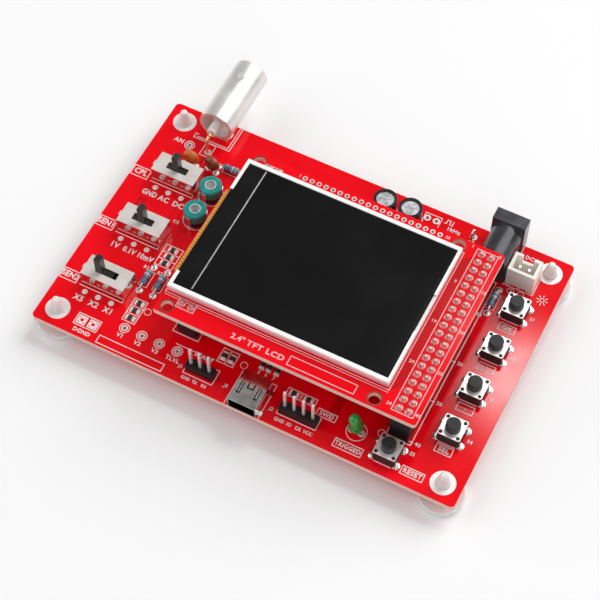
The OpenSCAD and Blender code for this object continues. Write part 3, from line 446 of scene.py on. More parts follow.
# Tin coloured rose: a painted reflection of the red board around the pins.
DULL_TIN_RED_REFLECTION = plain_finish(
    "dull_tin_with_painted_red_reflection", (0.66, 0.50, 0.48), (0.54, 0.38, 0.36), (0.80, 0.66, 0.63), (0.34, 0.48),
    metallic=1.0, fine=4000, coarse=1600, radius=0.05, bump=0.10)
NICKEL = plain_finish(
    "nickel_plate", (0.88, 0.85, 0.82), (0.78, 0.75, 0.72), (0.92, 0.90, 0.88), (0.36, 0.48),
    metallic=0.8, fine=2200, coarse=160, radius=0.04, bump=0.04)
ROTOR_METAL = plain_finish(
    "rotor_metal", (0.62, 0.60, 0.57), (0.46, 0.44, 0.42), (0.90, 0.88, 0.85), (0.20, 0.34),
    metallic=1.0, fine=3000, coarse=900, radius=0.06, bump=0.10)
KEY_TIN = plain_finish(
    "key_plate", (0.90, 0.89, 0.87), (0.82, 0.81, 0.79), (0.98, 0.97, 0.96), (0.28, 0.44),
    metallic=0.75, fine=2800, coarse=500, radius=0.10, bump=0.10)
PHENOLIC = plain_finish(
    "phenolic", (0.40, 0.17, 0.06), (0.26, 0.10, 0.04), (0.5, 0.26, 0.12), (0.45, 0.6),
    fine=1500, coarse=700, radius=0.08, bump=0.25)
LEVER_BLACK = plain_finish(
    "lever_plastic", (0.028, 0.026, 0.026), (0.014, 0.013, 0.014), (0.09, 0.08, 0.08), (0.30, 0.46),
    specular=0.4, fine=5000, coarse=300, radius=0.12)
KEY_BLACK = plain_finish(
    "key_plastic", (0.022, 0.022, 0.025), (0.010, 0.010, 0.012), (0.10, 0.10, 0.11), (0.34, 0.5),
    specular=0.4, fine=5000, coarse=400, radius=0.12, bump=0.2)
HEADER_BLACK = plain_finish(
    "header_plastic", (0.012, 0.012, 0.013), (0.006, 0.006, 0.007), (0.06, 0.06, 0.06), (0.38, 0.55),
    specular=0.35, fine=3800, coarse=500, radius=0.08, bump=0.25)
JACK_BLACK = plain_finish(
    "jack_plastic", (0.050, 0.050, 0.056), (0.026, 0.026, 0.030), (0.18, 0.18, 0.19), (0.16, 0.30),
    specular=0.5, fine=2400, coarse=220, radius=0.18, bump=0.22, bump_depth=0.02)
SOCKET_NYLON = plain_finish(
    "socket_nylon", (0.95, 0.92, 0.86), (0.92, 0.87, 0.78), (0.99, 0.98, 0.95), (0.32, 0.46),
    fine=3200, coarse=260, radius=0.14)
INSULATOR = plain_finish(
    "insulator_plastic", (0.93, 0.91, 0.88), (0.88, 0.85, 0.80), (0.97, 0.96, 0.94), (0.30, 0.42),
    fine=3200, coarse=400, radius=0.1)
FOAM = plain_finish(
    "foam_tape", (0.10, 0.10, 0.11), (0.05, 0.05, 0.06), (0.16, 0.16, 0.17), (0.75, 0.95),
    fine=5200, coarse=900, radius=0.05, bump=0.6)
CAN_METAL = plain_finish(
    "can_aluminium", (0.80, 0.80, 0.83), (0.62, 0.62, 0.66), (0.92, 0.92, 0.94), (0.20, 0.34),
    metallic=1.0, fine=3000, coarse=600, radius=0.2)
SLEEVE_BLACK = plain_finish(
    "can_sleeve", (0.014, 0.014, 0.018), (0.007, 0.007, 0.010), (0.07, 0.07, 0.08), (0.16, 0.28),
    specular=0.45, fine=2600, coarse=300, radius=0.2)
CHIP_BLACK = plain_finish(
    "chip_epoxy", (0.030, 0.030, 0.032), (0.020, 0.020, 0.021), (0.08, 0.08, 0.08), (0.48, 0.64),
    fine=7000, coarse=900, radius=0.08, bump=0.35)
CHOKE = plain_finish(
    "choke_lacquer", (0.30, 0.42, 0.16), (0.22, 0.32, 0.11), (0.5, 0.6, 0.35), (0.25, 0.38),
    coat=0.3, fine=2600, coarse=500, radius=0.2)
RESISTOR_BLUE = plain_finish(
    "resistor_lacquer", (0.11, 0.36, 0.56), (0.07, 0.26, 0.44), (0.35, 0.6, 0.75), (0.18, 0.30),
    coat=0.4, fine=3000, coarse=700, radius=0.15)
CHIP_CERAMIC = plain_finish(
    "chip_ceramic", (0.62, 0.50, 0.36), (0.50, 0.38, 0.26), (0.7, 0.6, 0.5), (0.4, 0.55),
    fine=5000, coarse=1500, radius=0.05)


def foot_finish():
    made = Finish("foot_nylon", fine=2200.0, coarse=180.0, radius=0.25, bump=0.08)
    tones = made.mix(made.mottle, (0.84, 0.84, 0.82), (0.93, 0.93, 0.92))
    # Lighter edges: partly wear, partly a painted highlight.
    made.colour(made.mix(made.worn, tones, (0.98, 0.98, 0.97)))
    made.gloss(0.26, 0.40)
    made.set(subsurface_weight=0.7, subsurface_scale=1.2 * MM, transmission_weight=0.12, ior=1.53)
    return made.material


def backlight_finish():
    """White moulded frame with a painted rose reflection of the red board close to its foot."""
    low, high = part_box("lcd_backlight_frame")
    made = Finish("backlight_plastic", fine=3800.0, coarse=200.0, radius=0.14, bump=0.12)
    white = made.mix(made.mottle, (0.90, 0.90, 0.89), (0.96, 0.96, 0.95))
    # Lighter edges: partly wear, partly a painted highlight.
    edge_worn_and_highlighted = made.mix(made.worn, white, (0.99, 0.99, 0.99))
    height = made.axes(made.place())[2]
    # Painted reflection: towards its foot the frame is coloured rose, as if lit by light bounced off the red
    # board.
    white_above_painted_reflection = made.span(height, low.z + (high.z - low.z) * 0.3, high.z - 0.25 * MM)
    made.colour(made.mix(white_above_painted_reflection, (0.88, 0.40, 0.41), edge_worn_and_highlighted))
    made.gloss(0.30, 0.45)
    return made.material


def cover_finish():
    """Tinned steel: a satin rolled top and bright drawn sides."""
    made = Finish("pressed_tin", fine=2800.0, coarse=380.0, radius=0.12, bump=0.06)
    top = facing_up(made)
    tones = made.mix(made.mottle, (0.72, 0.66, 0.61), (0.82, 0.76, 0.72))
    # Lighter edges: partly wear, partly a painted highlight.
    made.colour(made.mix(made.worn, tones, (0.95, 0.92, 0.89)))
    made.links.new(made.span(top, 0, 1, 1.0, 0.35), made.shader.inputs["Metallic"])
    made.links.new(made.span(top, 0, 1, 0.15, 0.40), made.shader.inputs["Roughness"])
    return made.material


def data_shell_finish():
    """Nickel-plated outside, with painted shade colouring the cavity around the tongue near black."""
    low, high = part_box("usb_shell")
    wall = 0.42 * MM
    made = Finish("socket_shell", fine=2600.0, coarse=300.0, radius=0.10, bump=0.08)
    # Painted shade: inside this box, the cavity around the tongue, the colour is near black.
    cavity_painted_shade = inside(made, (low.x + 1.2 * MM, low.y - wall, low.z), (high.x - 1.2 * MM, high.y, high.z - wall))
    tones = made.mix(made.mottle, (0.50, 0.48, 0.46), (0.78, 0.76, 0.74))
    # Lighter edges: partly wear, partly a painted highlight.
    edge_worn_and_highlighted = made.mix(made.worn, tones, (0.95, 0.94, 0.92))
    made.colour(made.mix(cavity_painted_shade, edge_worn_and_highlighted, (0.03, 0.03, 0.03)))
    made.gloss(0.10, 0.22)
    made.set(metallic=1.0)
    return made.material


def dipped_finish():
    """Dipped lacquer: orange on the outermost part, brown on the others."""
    made = Finish("dipped_ceramic", fine=2200.0, coarse=500.0, radius=0.2, bump=0.25, bump_depth=0.03)
    brown = made.span(made.axes(made.place())[0], spot(-42.0, 0, 0).x, spot(-41.5, 0, 0).x)
    light = made.mix(brown, (0.66, 0.14, 0.014), (0.30, 0.060, 0.018))
    dark = made.mix(brown, (0.42, 0.08, 0.010), (0.16, 0.028, 0.010))
    tones = made.mix(made.mottle, dark, light)
    # Lighter edges: partly wear, partly a painted highlight.
    made.colour(made.mix(made.worn, tones, (0.8, 0.35, 0.12)))
    made.gloss(0.22, 0.36)
    made.set(coat_weight=0.3)
    return made.material


def glass_finish():
    """Dark polariser over the panel: almost black, with a faint sheen that drifts over the surface."""
    made = Finish("display_glass", fine=900.0, coarse=45.0, radius=0.10, bump=0.015)
    tones = made.mix(made.mottle, (0.003, 0.003, 0.003), (0.006, 0.006, 0.006))
    # Lighter edges: partly wear, partly a painted highlight.
    made.colour(made.mix(made.worn, tones, (0.05, 0.055, 0.06)))
    made.gloss(0.10, 0.16)
    made.set(ior=1.5, specular_ior_level=0.25)
    return made.material


def trimmer_finish():
    """Teal over the upper part of the body, near black towards the bottom."""
    low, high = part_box("trimmer_bodies")
    made = Finish("trimmer_ceramic", fine=2600.0, coarse=420.0, radius=0.18, bump=0.16)
    height = made.axes(made.place())[2]
    wavering = made.maths("MULTIPLY_ADD", made.mottle, 0.3 * MM, height)
    line = low.z + (high.z - low.z) * 0.38
    teal_above_line = made.span(wavering, line, line + 0.2 * MM)
    teal = made.mix(made.mottle, (0.006, 0.22, 0.20), (0.012, 0.34, 0.31))
    # Lighter edges: partly wear, partly a painted highlight.
    edge_worn_and_highlighted = made.mix(made.worn, teal, (0.25, 0.75, 0.72))
    # Below the wavering line the body is coloured near black.
    made.colour(made.mix(teal_above_line, (0.010, 0.016, 0.018), edge_worn_and_highlighted))
    made.gloss(0.24, 0.38)
    made.set(specular_ior_level=0.4)
    return made.material


def film_finish():
    """Amber film with copper lines running through it, away from the panel."""
    made = Finish("flex_film", fine=3000.0, coarse=300.0, radius=0.04)
    lines = made.nodes.new("ShaderNodeTexWave")
    lines.bands_direction = "Y"
    lines.inputs["Scale"].default_value = 330.0
    lines.inputs["Distortion"].default_value = 0.15
    made.links.new(made.place(), lines.inputs["Vector"])
    ribs = made.span(lines.outputs["Fac"], 0.35, 0.65)
    tones = made.mix(ribs, (0.60, 0.20, 0.016), (0.80, 0.34, 0.05))
    # Lighter edges: partly wear, partly a painted highlight.
    made.colour(made.mix(made.worn, tones, (0.95, 0.62, 0.25)))
    made.links.new(lines.outputs["Fac"], made.bump.inputs["Height"])
    made.bump.inputs["Distance"].default_value = 0.03 * MM
    made.bump.inputs["Strength"].default_value = 0.5
    made.gloss(0.22, 0.34)
    made.set(coat_weight=0.3)
    return made.material


def lamp_finish():
    made = Finish("lamp_epoxy", fine=2000.0, coarse=300.0, radius=0.1, bump=0.03)
    tones = made.mix(made.mottle, (0.002, 0.20, 0.030), (0.004, 0.36, 0.06))
    # Lighter edges: partly wear, partly a painted highlight.
    made.colour(made.mix(made.worn, tones, (0.10, 0.65, 0.20)))
    made.gloss(0.06, 0.14)
    made.set(transmission_weight=0.1, ior=1.54, coat_weight=0.6)
    return made.material


FOOT_NYLON = foot_finish()
BACKLIGHT = backlight_finish()
COVER_TIN = cover_finish()
DATA_SHELL = data_shell_finish()
DISC_ORANGE = dipped_finish()
DISPLAY_GLASS = glass_finish()
TRIMMER_TEAL = trimmer_finish()
FLEX_FILM = film_finish()
LAMP_GREEN = lamp_finish()

NODE_FINISHES = {
    LAMINATE: ["main_board", "lcd_board"],
    FOOT_NYLON: ["board_feet"],
    DATA_SHELL: ["usb_shell"],
    NICKEL: ["input_barrel", "crystal"],
    ROTOR_METAL: ["rear_trimmer_rotor", "front_trimmer_rotor"],
    INSULATOR: ["input_insulator"],
    GOLD: ["input_contact", "coupling_wiper", "range_wiper", "multiplier_wiper", "display_socket_contacts"],
    TIN: ["input_ground_pins", "switch_terminals", "key_terminals", "key_domes", "trimmer_terminals",
          "dc_jack_centre_pin", "dc_jack_terminals", "battery_socket_pins", "component_leads", "test_loop"],
    PHENOLIC: ["switch_bases"],
    COVER_TIN: ["switch_covers"],
    KEY_TIN: ["key_covers"],
    LEVER_BLACK: ["coupling_lever", "range_lever", "multiplier_lever"],
    KEY_BLACK: ["key_bases", "ok_button", "plus_button", "minus_button", "select_button", "reset_button"],
    TRIMMER_TEAL: ["trimmer_bodies"],
    BACKLIGHT: ["lcd_backlight_frame"],
    DISPLAY_GLASS: ["lcd_glass"],
    FLEX_FILM: ["lcd_flex"],
    FOAM: ["lcd_adhesive"],
    HEADER_BLACK: ["display_header_spacer", "display_socket", "support_header_spacers", "support_sockets",
                   "pin_header_bases", "usb_tongue"],
    PIN_METAL: ["pin_header_pins"],
    DULL_TIN_RED_REFLECTION: ["display_header_pins"],
    JACK_BLACK: ["dc_jack_housing"],
    SOCKET_NYLON: ["battery_socket_housing"],
    LAMP_GREEN: ["trigger_lamp"],
    CAN_METAL: ["electrolytic_cans"],
    SLEEVE_BLACK: ["electrolytic_sleeves"],
    DISC_ORANGE: ["ceramic_capacitors"],
    RESISTOR_BLUE: ["resistors"],
    CHIP_BLACK: ["microcontroller", "amplifier_chips", "regulators"],
    CHOKE: ["inductors"],
}
for material, names in NODE_FINISHES.items():
    for name in names:
        mesh = NODES[name].data
        mesh.materials.clear()
        mesh.materials.append(material)

# -------- places shared by pads, solder and legends

PITCH = 2.54
SWITCH_X, SWITCH_YS = -45.7, (15.5, -2.65, -20.8)
SWITCH_DOT_XS = (-49.95, -46.05, -42.2)
KEY_X, KEY_YS = 50.05, (18.45, 5.60, -7.25, -20.10)
RESET_KEY = (38.5, -31.85)
KEY_COLUMN = [(KEY_X, y) for y in KEY_YS]
KEY_CENTRES = KEY_COLUMN + [RESET_KEY]
KEY_LEGS = [(x + sx * 3.15, y + sy * 2.25) for x, y in KEY_CENTRES for sx in (-1, 1) for sy in (-1, 1)]
SWITCH_LEGS = [(SWITCH_X + (i - 1.5) * 2.5, y + row * 1.35)
               for y in SWITCH_YS for row in (-1, 1) for i in range(4)]
PLUG_X, PLUG_YS = 39.07, [-1.7 + (i - 9.5) * PITCH for i in range(20)]
PLUG_PINS = [(PLUG_X + side * PITCH / 2, y) for y in PLUG_YS for side in (-1, 1)]
SUPPORT_PINS = [(-20.5 + side * PITCH / 2, y) for y in (-24.0, 21.85) for side in (-1, 1)]
FREE_PINS = [(x, -32.8) for x in (-14.94, -12.4, -9.86, 11.09, 13.63, 16.17, 18.71)]
BATTERY_PINS = [(46.7, 28.1), (49.2, 28.1)]
TRIMMERS = [(-35.45, 14.95), (-35.45, 6.5)]
TRIMMER_LEGS = [(x, y + side * 2.3) for x, y in TRIMMERS for side in (-1, 1)]
# Parts that lie along a line: x, y and the turn of that line.
SEEN_RESISTORS = [(-37.8, -15.3, 90), (-33.9, -15.2, 90), (43.8, 18.8, 90), (-34.4, 24.2, 0)]
HIDDEN_RESISTORS = [(x, 8.95, 90) for x in (-16.0, -12.5, -9.0, -5.5)]
HIDDEN_RESISTORS += [(x, y, 90) for x in (27.0, 30.5) for y in (1.95, 12.95)]
RESISTORS = SEEN_RESISTORS + HIDDEN_RESISTORS
CERAMICS = [(-45.2, 21.7, 0), (-39.2, 22.3, -12), (-21.5, 11.95, 90), (-21.5, 2.95, 90),
            (20.5, 11.45, 0), (31, -10.05, 90)]
ELECTROLYTICS = [(7.6, 30.7), (14.6, 31.1), (-20.5, -13.65), (24, -13.05)]
CHOKES = [(-2, -17.05), (-2, -21.55), (13, 16.45)]
CRYSTAL = (12, 6.45)
LAMP = (29.2, -30.1)
LOOP = (31.5, 33.4)
TEST_RINGS = [(-35.5, -30.5), (-30.5, -30.5), (-25.5, -30.5), (-20.4, -30.4), (-48.6, 26.8)]
LINK_PADS = [(18.25, 34.55), (20.79, 34.55), (-46.25, -33.3), (-43.05, -33.3)]
FEET = [(sx * 53.55, sy * 33.05) for sx in (-1, 1) for sy in (-1, 1)]


def two_ends(places, span, turn=0):
    """Both lead holes of parts at (x, y), turned alike, or at (x, y, turn)."""
    ends = []
    for x, y, *own_turn in places:
        angle = math.radians(own_turn[0] if own_turn else turn)
        dx, dy = span / 2 * math.cos(angle), span / 2 * math.sin(angle)
        ends += [(x - dx, y - dy), (x + dx, y + dy)]
    return ends


RESISTOR_LEGS = two_ends(RESISTORS, 7.62)
CERAMIC_LEGS = two_ends(CERAMICS, PITCH)
WIRE_LEGS = RESISTOR_LEGS + CERAMIC_LEGS + two_ends(ELECTROLYTICS, 2.5) + two_ends(CHOKES, 11)
WIRE_LEGS += two_ends([CRYSTAL], 4.9) + two_ends([LAMP], PITCH) + two_ends([LOOP], 2, 90)
HEADER_LEGS = PLUG_PINS + SUPPORT_PINS + FREE_PINS + BATTERY_PINS
JACK_TABS = [(39.9, 26.1), (39.9, 32.1), (43.1, 29.1)]
INPUT_LEGS = [(-45.2, 34.6), (-41.2, 34.6)]
INPUT_LEAD = (-43.2, 27.0)


def raised(places, z):
    return [(x, y, z) for x, y in places]


# -------- pads and solder

def pads(outer, inner, places, heights, sides=20):
    return copy_to(ring(outer, inner, sides), [(x, y, z) for x, y in places for z in heights])


def solder_cone(foot, neck, height):
    """A fillet that climbs from the pad to the lead, hollow in its flank."""
    rises, shares = (0.18, 0.30, 0.52), (0.74, 0.72, 0.80)
    fillet = disc(foot, 12)
    edit_all()
    for rise, share in zip(rises, shares):
        bpy.ops.mesh.extrude_region_move(TRANSFORM_OT_translate={"value": (0, 0, height * rise * MM)})
        bpy.ops.transform.resize(value=(share, share, 1), center_override=(0, 0, 0))
    bpy.ops.mesh.select_all(action="SELECT")
    bpy.ops.mesh.fill_holes(sides=0)
    bpy.ops.mesh.normals_make_consistent(inside=False)
    object_mode()
    only(fillet)
    bpy.ops.object.shade_smooth_by_angle(angle=math.radians(50))
    to_neck = neck / (foot * math.prod(shares))
    fillet.scale = (to_neck, to_neck, 1)
    settle(fillet)
    return fillet


def upside_down(piece):
    piece.rotation_euler = (math.pi, 0, 0)
    settle(piece)
    return piece


board_pads = []
for outer, inner, places in (
        (0.95, 0.42, WIRE_LEGS), (0.92, 0.45, HEADER_LEGS), (1.05, 0.55, KEY_LEGS), (0.85, 0.5, SWITCH_LEGS),
        (0.95, 0.5, TRIMMER_LEGS), (0.88, 0.5, TEST_RINGS), (0.95, 0.5, LINK_PADS), (1.6, 0.85, INPUT_LEGS),
        (0.95, 0.58, [INPUT_LEAD]), (1.6, 1.06, JACK_TABS)):
    board_pads += pads(outer, inner, places, (COPPER, UNDER))
board_pads += pads(3.2, 1.9, FEET, (COPPER,), 40)
finish_flat("main_board_pads", board_pads, COPPER, "main_unit", PAD_TIN)

UNDER_JOINT = UNDER - COPPER
small_joints = WIRE_LEGS + HEADER_LEGS + SWITCH_LEGS + KEY_LEGS + TRIMMER_LEGS
large_joints = INPUT_LEGS + JACK_TABS + [INPUT_LEAD]
lower_solder = copy_to(upside_down(solder_cone(0.9, 0.42, 0.75)), raised(small_joints, UNDER_JOINT))
lower_solder += copy_to(upside_down(solder_cone(1.5, 0.85, 0.9)), raised(large_joints, UNDER_JOINT))
finish_piece(join("underside_solder", lower_solder), "main_unit", TIN)

top_solder = copy_to(solder_cone(0.62, 0.28, 0.22), raised(RESISTOR_LEGS + CERAMIC_LEGS, COPPER))
top_solder += copy_to(solder_cone(0.95, 0.45, 0.35), raised(KEY_LEGS, COPPER))
finish_piece(join("upper_solder", top_solder), "main_unit", TIN)

DISPLAY_COPPER = DISPLAY_TOP + COPPER
pin_solder = copy_to(solder_cone(0.80, 0.45, 0.55), raised(PLUG_PINS + SUPPORT_PINS, DISPLAY_COPPER))
finish_piece(join("display_pin_solder", pin_solder), "display_module", SOLDER_RED_REFLECTION)

DISPLAY_HOLES = [(x, y) for x in (-24.7, 31.6) for y in (-26.2, 22.5)]
SPARE_ROW = [(-11.9 + 2 * i, 23.15) for i in range(20)]
display_pads = pads(0.9, 0.5, PLUG_PINS + SUPPORT_PINS, (DISPLAY_UNDER,))
display_pads += pads(0.68, 0.42, SPARE_ROW, (DISPLAY_COPPER, DISPLAY_UNDER))
finish_flat("display_board_pads", display_pads, COPPER, "display_module", PIN_METAL)
hole_rings = pads(1.98, 1.6, DISPLAY_HOLES, (DISPLAY_COPPER, DISPLAY_UNDER), 32)
finish_flat("display_board_hole_rings", hole_rings, COPPER, "display_module", BARE_COPPER)

# -------- tracks under the mask

FINEST, FINE, WIDE, BUS = 0.176, 0.22, 0.5, 1.2
finest, fine, wide = [], [], []
for i in range(8):
    x, bend = 41.6 + 0.34 * i, -10.5 - 0.5 * i
    finest.append([(x, 9.5 - 0.6 * i), (x, bend), (x - 0.9, bend - 1.1), (x - 0.9, -18.5 - 0.3 * i)])
for i in range(6):
    x, other_x = 0.45 * i, 0.4 * i
    finest.append([(x - 9.0, -28.4), (x - 9.0, -24.0), (x - 6.5, -21.0)])
    finest.append([(other_x + 21.0, -28.3), (other_x + 21.0, -22.0), (other_x + 18.5, -19.0)])
for i, (x, y) in enumerate(KEY_COLUMN):
    fine.append([(46.9, y - 2.25), (45.6, y - 3.4), (45.6 - 0.35 * i, y - 6.5)])
for i in range(5):
    x = -40.6 + 0.55 * i
    fine.append([(x, -0.6), (x, -9.0 - 0.5 * i), (-39.9 + 0.4 * i, -10.2 - 0.5 * i)])
for i in range(4):
    fine.append([(-52.0 + 0.6 * i, 6.2), (-52.0 + 0.6 * i, 0.6)])
fine += [
    [(-37.4, -19.1), (-37.4, -20.3), (-36.0, -21.6)],
    [(-33.9, -19.0), (-33.9, -21.2)],
    [(-39.2, 20.9), (-39.2, 13.2), (-41.9, 9.0), (-41.9, 1.0)],
    [(-38.2, 20.9), (-38.2, 13.6), (-39.9, 9.6), (-39.9, 3.0)],
    [(17.0, 28.2), (27.2, 28.2), (30.0, 25.6)],
]
wide += [
    [(-48.6, 25.8), (-48.6, 18.6), (-49.45, 17.6)],
    [(-43.2, 25.9), (-43.2, 23.2), (-44.0, 22.2)],
    [(22.9, 29.0), (30.2, 29.0), (33.2, 26.0)],
]
tracks = paths(finest, FINEST, COPPER) + paths(fine, FINE, COPPER) + paths(wide, WIDE, COPPER)
finish_flat("main_board_tracks", tracks, COPPER, "main_unit", TRACK)

fine = []
for i in range(15):
    x = -52.0 + 3.0 * i
    fine.append([(x, -26.0), (x, -16.0 + 0.7 * i), (x + 3.4, -12.6 + 0.7 * i), (x + 3.4, 21.0 - 0.6 * i)])
for i in range(12):
    y, turn_x = -29.0 + 1.1 * i, 35.8 - i
    fine.append([(-6.0 + i, y), (turn_x - 3, y), (turn_x, y + 3), (turn_x, 23.0 - i)])
wide = [[(46.9, y + 2.25), (44.6, y + 2.25), (43.2, y + 0.9), (41.6, y + 0.9)] for x, y in KEY_COLUMN]
buses = [[(39.9, 26.1), (33.0, 26.1), (25.5, 33.6), (-36.0, 33.6)],
         [(-53.5, 28.0), (-53.5, -27.0)], [(55.2, 27.0), (55.2, -27.0)]]
tracks = paths(fine, FINE, UNDER) + paths(wide, WIDE, UNDER) + paths(buses, BUS, UNDER)
finish_flat("underside_tracks", tracks, COPPER, "main_unit", TRACK)

slanted = [[(33.7, -22.4 + 0.9 * i), (36.0, -20.0 + 0.9 * i)] for i in range(46)]
short = [[(PLUG_X + 0.3, y + 0.9), (PLUG_X - 0.3, y + 1.6)] for y in PLUG_YS]
short += [[(-12.0 + 4 * i, 22.2), (-12.0 + 4 * i, 21.4)] for i in range(10)]
tracks = paths(slanted, 0.34, DISPLAY_COPPER) + paths(short, FINE, DISPLAY_COPPER)
finish_flat("display_board_tracks", tracks, COPPER, "display_module", TRACK)

# -------- printed legends

THIN = 0.21
LEGEND_BOXES = [
    (-47.9, -35.0, -41.4, -31.65), (-40.0, -37.3, -21.4, -35.1), (-16.4, -34.9, -8.2, -30.5),
    (9.5, -34.45, 20.1, -30.9), (-44.9, 25.4, -42.0, 29.6), (17.3, 32.4, 21.9, 36.0),
    (43.8, 24.85, 52.0, 31.25),
    (-38.4, -10.3, -33.5, -3.65), (-37.5, -28.5, -33.9, -21.5), (-10.4, -28.2, -6.0, -24.1),
    (9.1, -28.8, 17.0, -26.7), (35.8, -27.6, 42.4, 24.2), (-24.4, 20.3, -17.2, 23.4),
    (-24.4, -25.6, -17.2, -22.4),
]
LEGEND_LINES = [
    [(-3.2, -37.8), (-3.2, -27.7), (6.25, -27.7), (6.25, -37.8)],
    [(-21.7, -28.5), (-16.4, -28.5)],
    [(-38.2, 37.8), (-38.2, 29.8), (-49.0, 29.8), (-49.0, 31.2), (-48.2, 31.2)],
    [(-38.9, 37.8), (-38.9, 30.4), (-48.2, 30.4)],
    [(22.9, 35.1), (23.4, 35.1), (23.4, 36.3), (24.3, 36.3), (24.3, 35.1), (25.1, 35.1), (25.1, 36.3)],
    [(44.4, 37.8), (44.4, 34.4)], [(35.2, 24.2), (33.5, 24.2), (33.5, 32.5), (35.2, 32.5)],
    [(-38.4, -5.9), (-33.5, -5.9)], [(-38.4, -8.1), (-33.5, -8.1)],
    [(-37.5, -23.8), (-33.9, -23.8)], [(-37.5, -26.1), (-33.9, -26.1)],
    [(-8.2, -28.2), (-8.2, -24.1)], [(13.0, -28.8), (13.0, -26.7)],
]
LEGEND_WORDS = [
    ("START", -13.6, -28.9, 1.2), ("AN", -51.9, 27.0, 1.3), ("DGND", -44.65, -36.4, 1.1),
    ("1kHz", 26.0, 33.7, 1.2),
    ("DC IN", 48.2, 34.9, 1.1), ("+", 46.5, 23.7, 1.0), ("-", 49.2, 23.7, 1.0),
    ("V1", -35.5, -32.9, 1.15), ("V2", -30.5, -32.9, 1.15), ("V3", -25.5, -32.9, 1.15),
    ("TLVL", -20.4, -32.9, 1.15),
    ("GND", -14.94, -36.1, 0.85, 0.85), ("TX", -12.4, -36.1, 0.85, 0.85), ("RX", -9.86, -36.1, 0.85, 0.85),
    ("GND", 11.0, -35.9, 0.95, 0.85), ("IO", 13.7, -35.9, 0.95, 0.85), ("CK", 16.2, -35.9, 0.95, 0.85),
    ("VCC", 18.8, -35.9, 0.95, 0.85), ("5", 0.5, -26.3, 1.0), ("6", 2.4, -26.3, 1.0), ("7", 4.5, -26.3, 1.0),
    ("J1", -17.6, -33.6, 0.9), ("J2", 7.9, -34.0, 0.9), ("J3", -5.0, -33.4, 0.9), ("J4", 19.6, 31.4, 0.9),
    ("C1", -41.6, 19.0, 0.9), ("C2", -36.4, 20.0, 0.9), ("C3", -39.7, 3.4, 0.9),
    ("R1", -39.6, -12.3, 0.9), ("R2", -35.6, -12.4, 0.9), ("R3", 42.2, 13.6, 0.9), ("S5", 43.8, -29.5, 0.95),
]
BOXED_WORDS = [
    ("RESET", 43.1, -35.35, 48.9, -33.1, 1.3, 0.95), ("TRIGGED", 25.5, -36.1, 32.9, -33.8, 1.2, 0.9),
    ("SWD", 18.2, -30.4, 23.35, -28.5, 1.15, 1.0),
]
for text, y in (("OK", 13.05), ("+", 0.25), ("-", -12.45), ("SEL", -25.05)):
    BOXED_WORDS.append((text, 47.95, y - 1.1, 52.25, y + 1.1, 1.35, 1.0))

boxes, lines, rows = list(LEGEND_BOXES), list(LEGEND_LINES), list(LEGEND_WORDS)
for text, x0, y0, x1, y1, height, spread in BOXED_WORDS:
    boxes.append((x0, y0, x1, y1))
    rows.append((text, (x0 + x1) / 2, (y0 + y1) / 2, height, spread))

SWITCH_LEGENDS = (("CPL", ("GND", "AC", "DC")), ("SEN1", ("1V", "0.1V", "10mV")),
                  ("SEN2", ("X5", "X2", "X1")))
for (label, marks), y in zip(SWITCH_LEGENDS, SWITCH_YS):
    lines.append([(-52.2, y - 3.6), (-39.8, y - 3.6), (-39.8, y - 2.2)])
    boxes.append((-58.3, y - 3.85, -53.4, y - 0.8))
    rows.append((label, -55.85, y - 2.3, 1.7, 0.86))
    for text, x in zip(marks, (-50.4, -46.1, -41.45 if "10mV" in marks else -41.8)):
        rows.append((text, x, y - 7.3, 1.6, 0.8 if len(text) > 2 else 0.95))
for x, y in KEY_CENTRES:
    lines.append([(x - 2.2, y - 3.35), (x + 2.2, y - 3.35)])
for index, y in enumerate(KEY_YS):
    rows.append(("S%d" % (index + 1), 54.8, y - 0.2, 0.95))
for text, y in (("20", -1.7), ("30", -14.2), ("40", -26.7)):
    lines.append([(41.5, y), (42.6, y)])
    rows.append((text, 43.9, y, 1.0))
for x, y in ELECTROLYTICS[:2]:
    rows.append(("+", x - 4.1, y + 1.9, 1.1))

# The sign of a lamp: a small ring with eight rays.
SIGN = (54.8, 24.7)
for step in range(8):
    along = (math.cos(math.radians(45 * step)), math.sin(math.radians(45 * step)))
    lines.append([(SIGN[0] + reach * along[0], SIGN[1] + reach * along[1]) for reach in (0.95, 1.45)])

resistor_boxes = []
for x, y, turn in SEEN_RESISTORS:
    half_x, half_y = (2.4, 1.15) if turn == 0 else (1.15, 2.4)
    resistor_boxes.append((x - half_x, y - half_y, x + half_x, y + half_y))
link_boxes = [(x - 1.1, -34.4, x + 1.1, -32.25) for x in (-46.25, -43.05)]

art = outlines(boxes, THIN, INK) + paths(lines, THIN, INK) + words(rows, INK)
art += outlines(resistor_boxes, THIN * 0.8, INK) + outlines(link_boxes, THIN * 1.6, INK)
art += copy_to(disc(0.75), [(x, y - 5.0, INK) for y in SWITCH_YS for x in SWITCH_DOT_XS])
for outer, inner, sides, places in (
        (1.42, 1.2, 28, TEST_RINGS), (3.45, 3.28, 36, TRIMMERS), (3.55, 3.38, 36, ELECTROLYTICS[:2]),
        (0.95, 0.78, 24, [(46.5, 23.7), (49.2, 23.7)]), (0.62, 0.46, 20, [SIGN]), (2.65, 2.48, 32, [LAMP]),
        (1.0, 0.85, 20, [(-32.65, -23.8), (34.8, -27.7), (-3.7, -26.3)])):
    art += copy_to(ring(outer, inner, sides), raised(places, INK))
finish_flat("main_board_legend", art, INK, "main_unit", WHITE_INK)

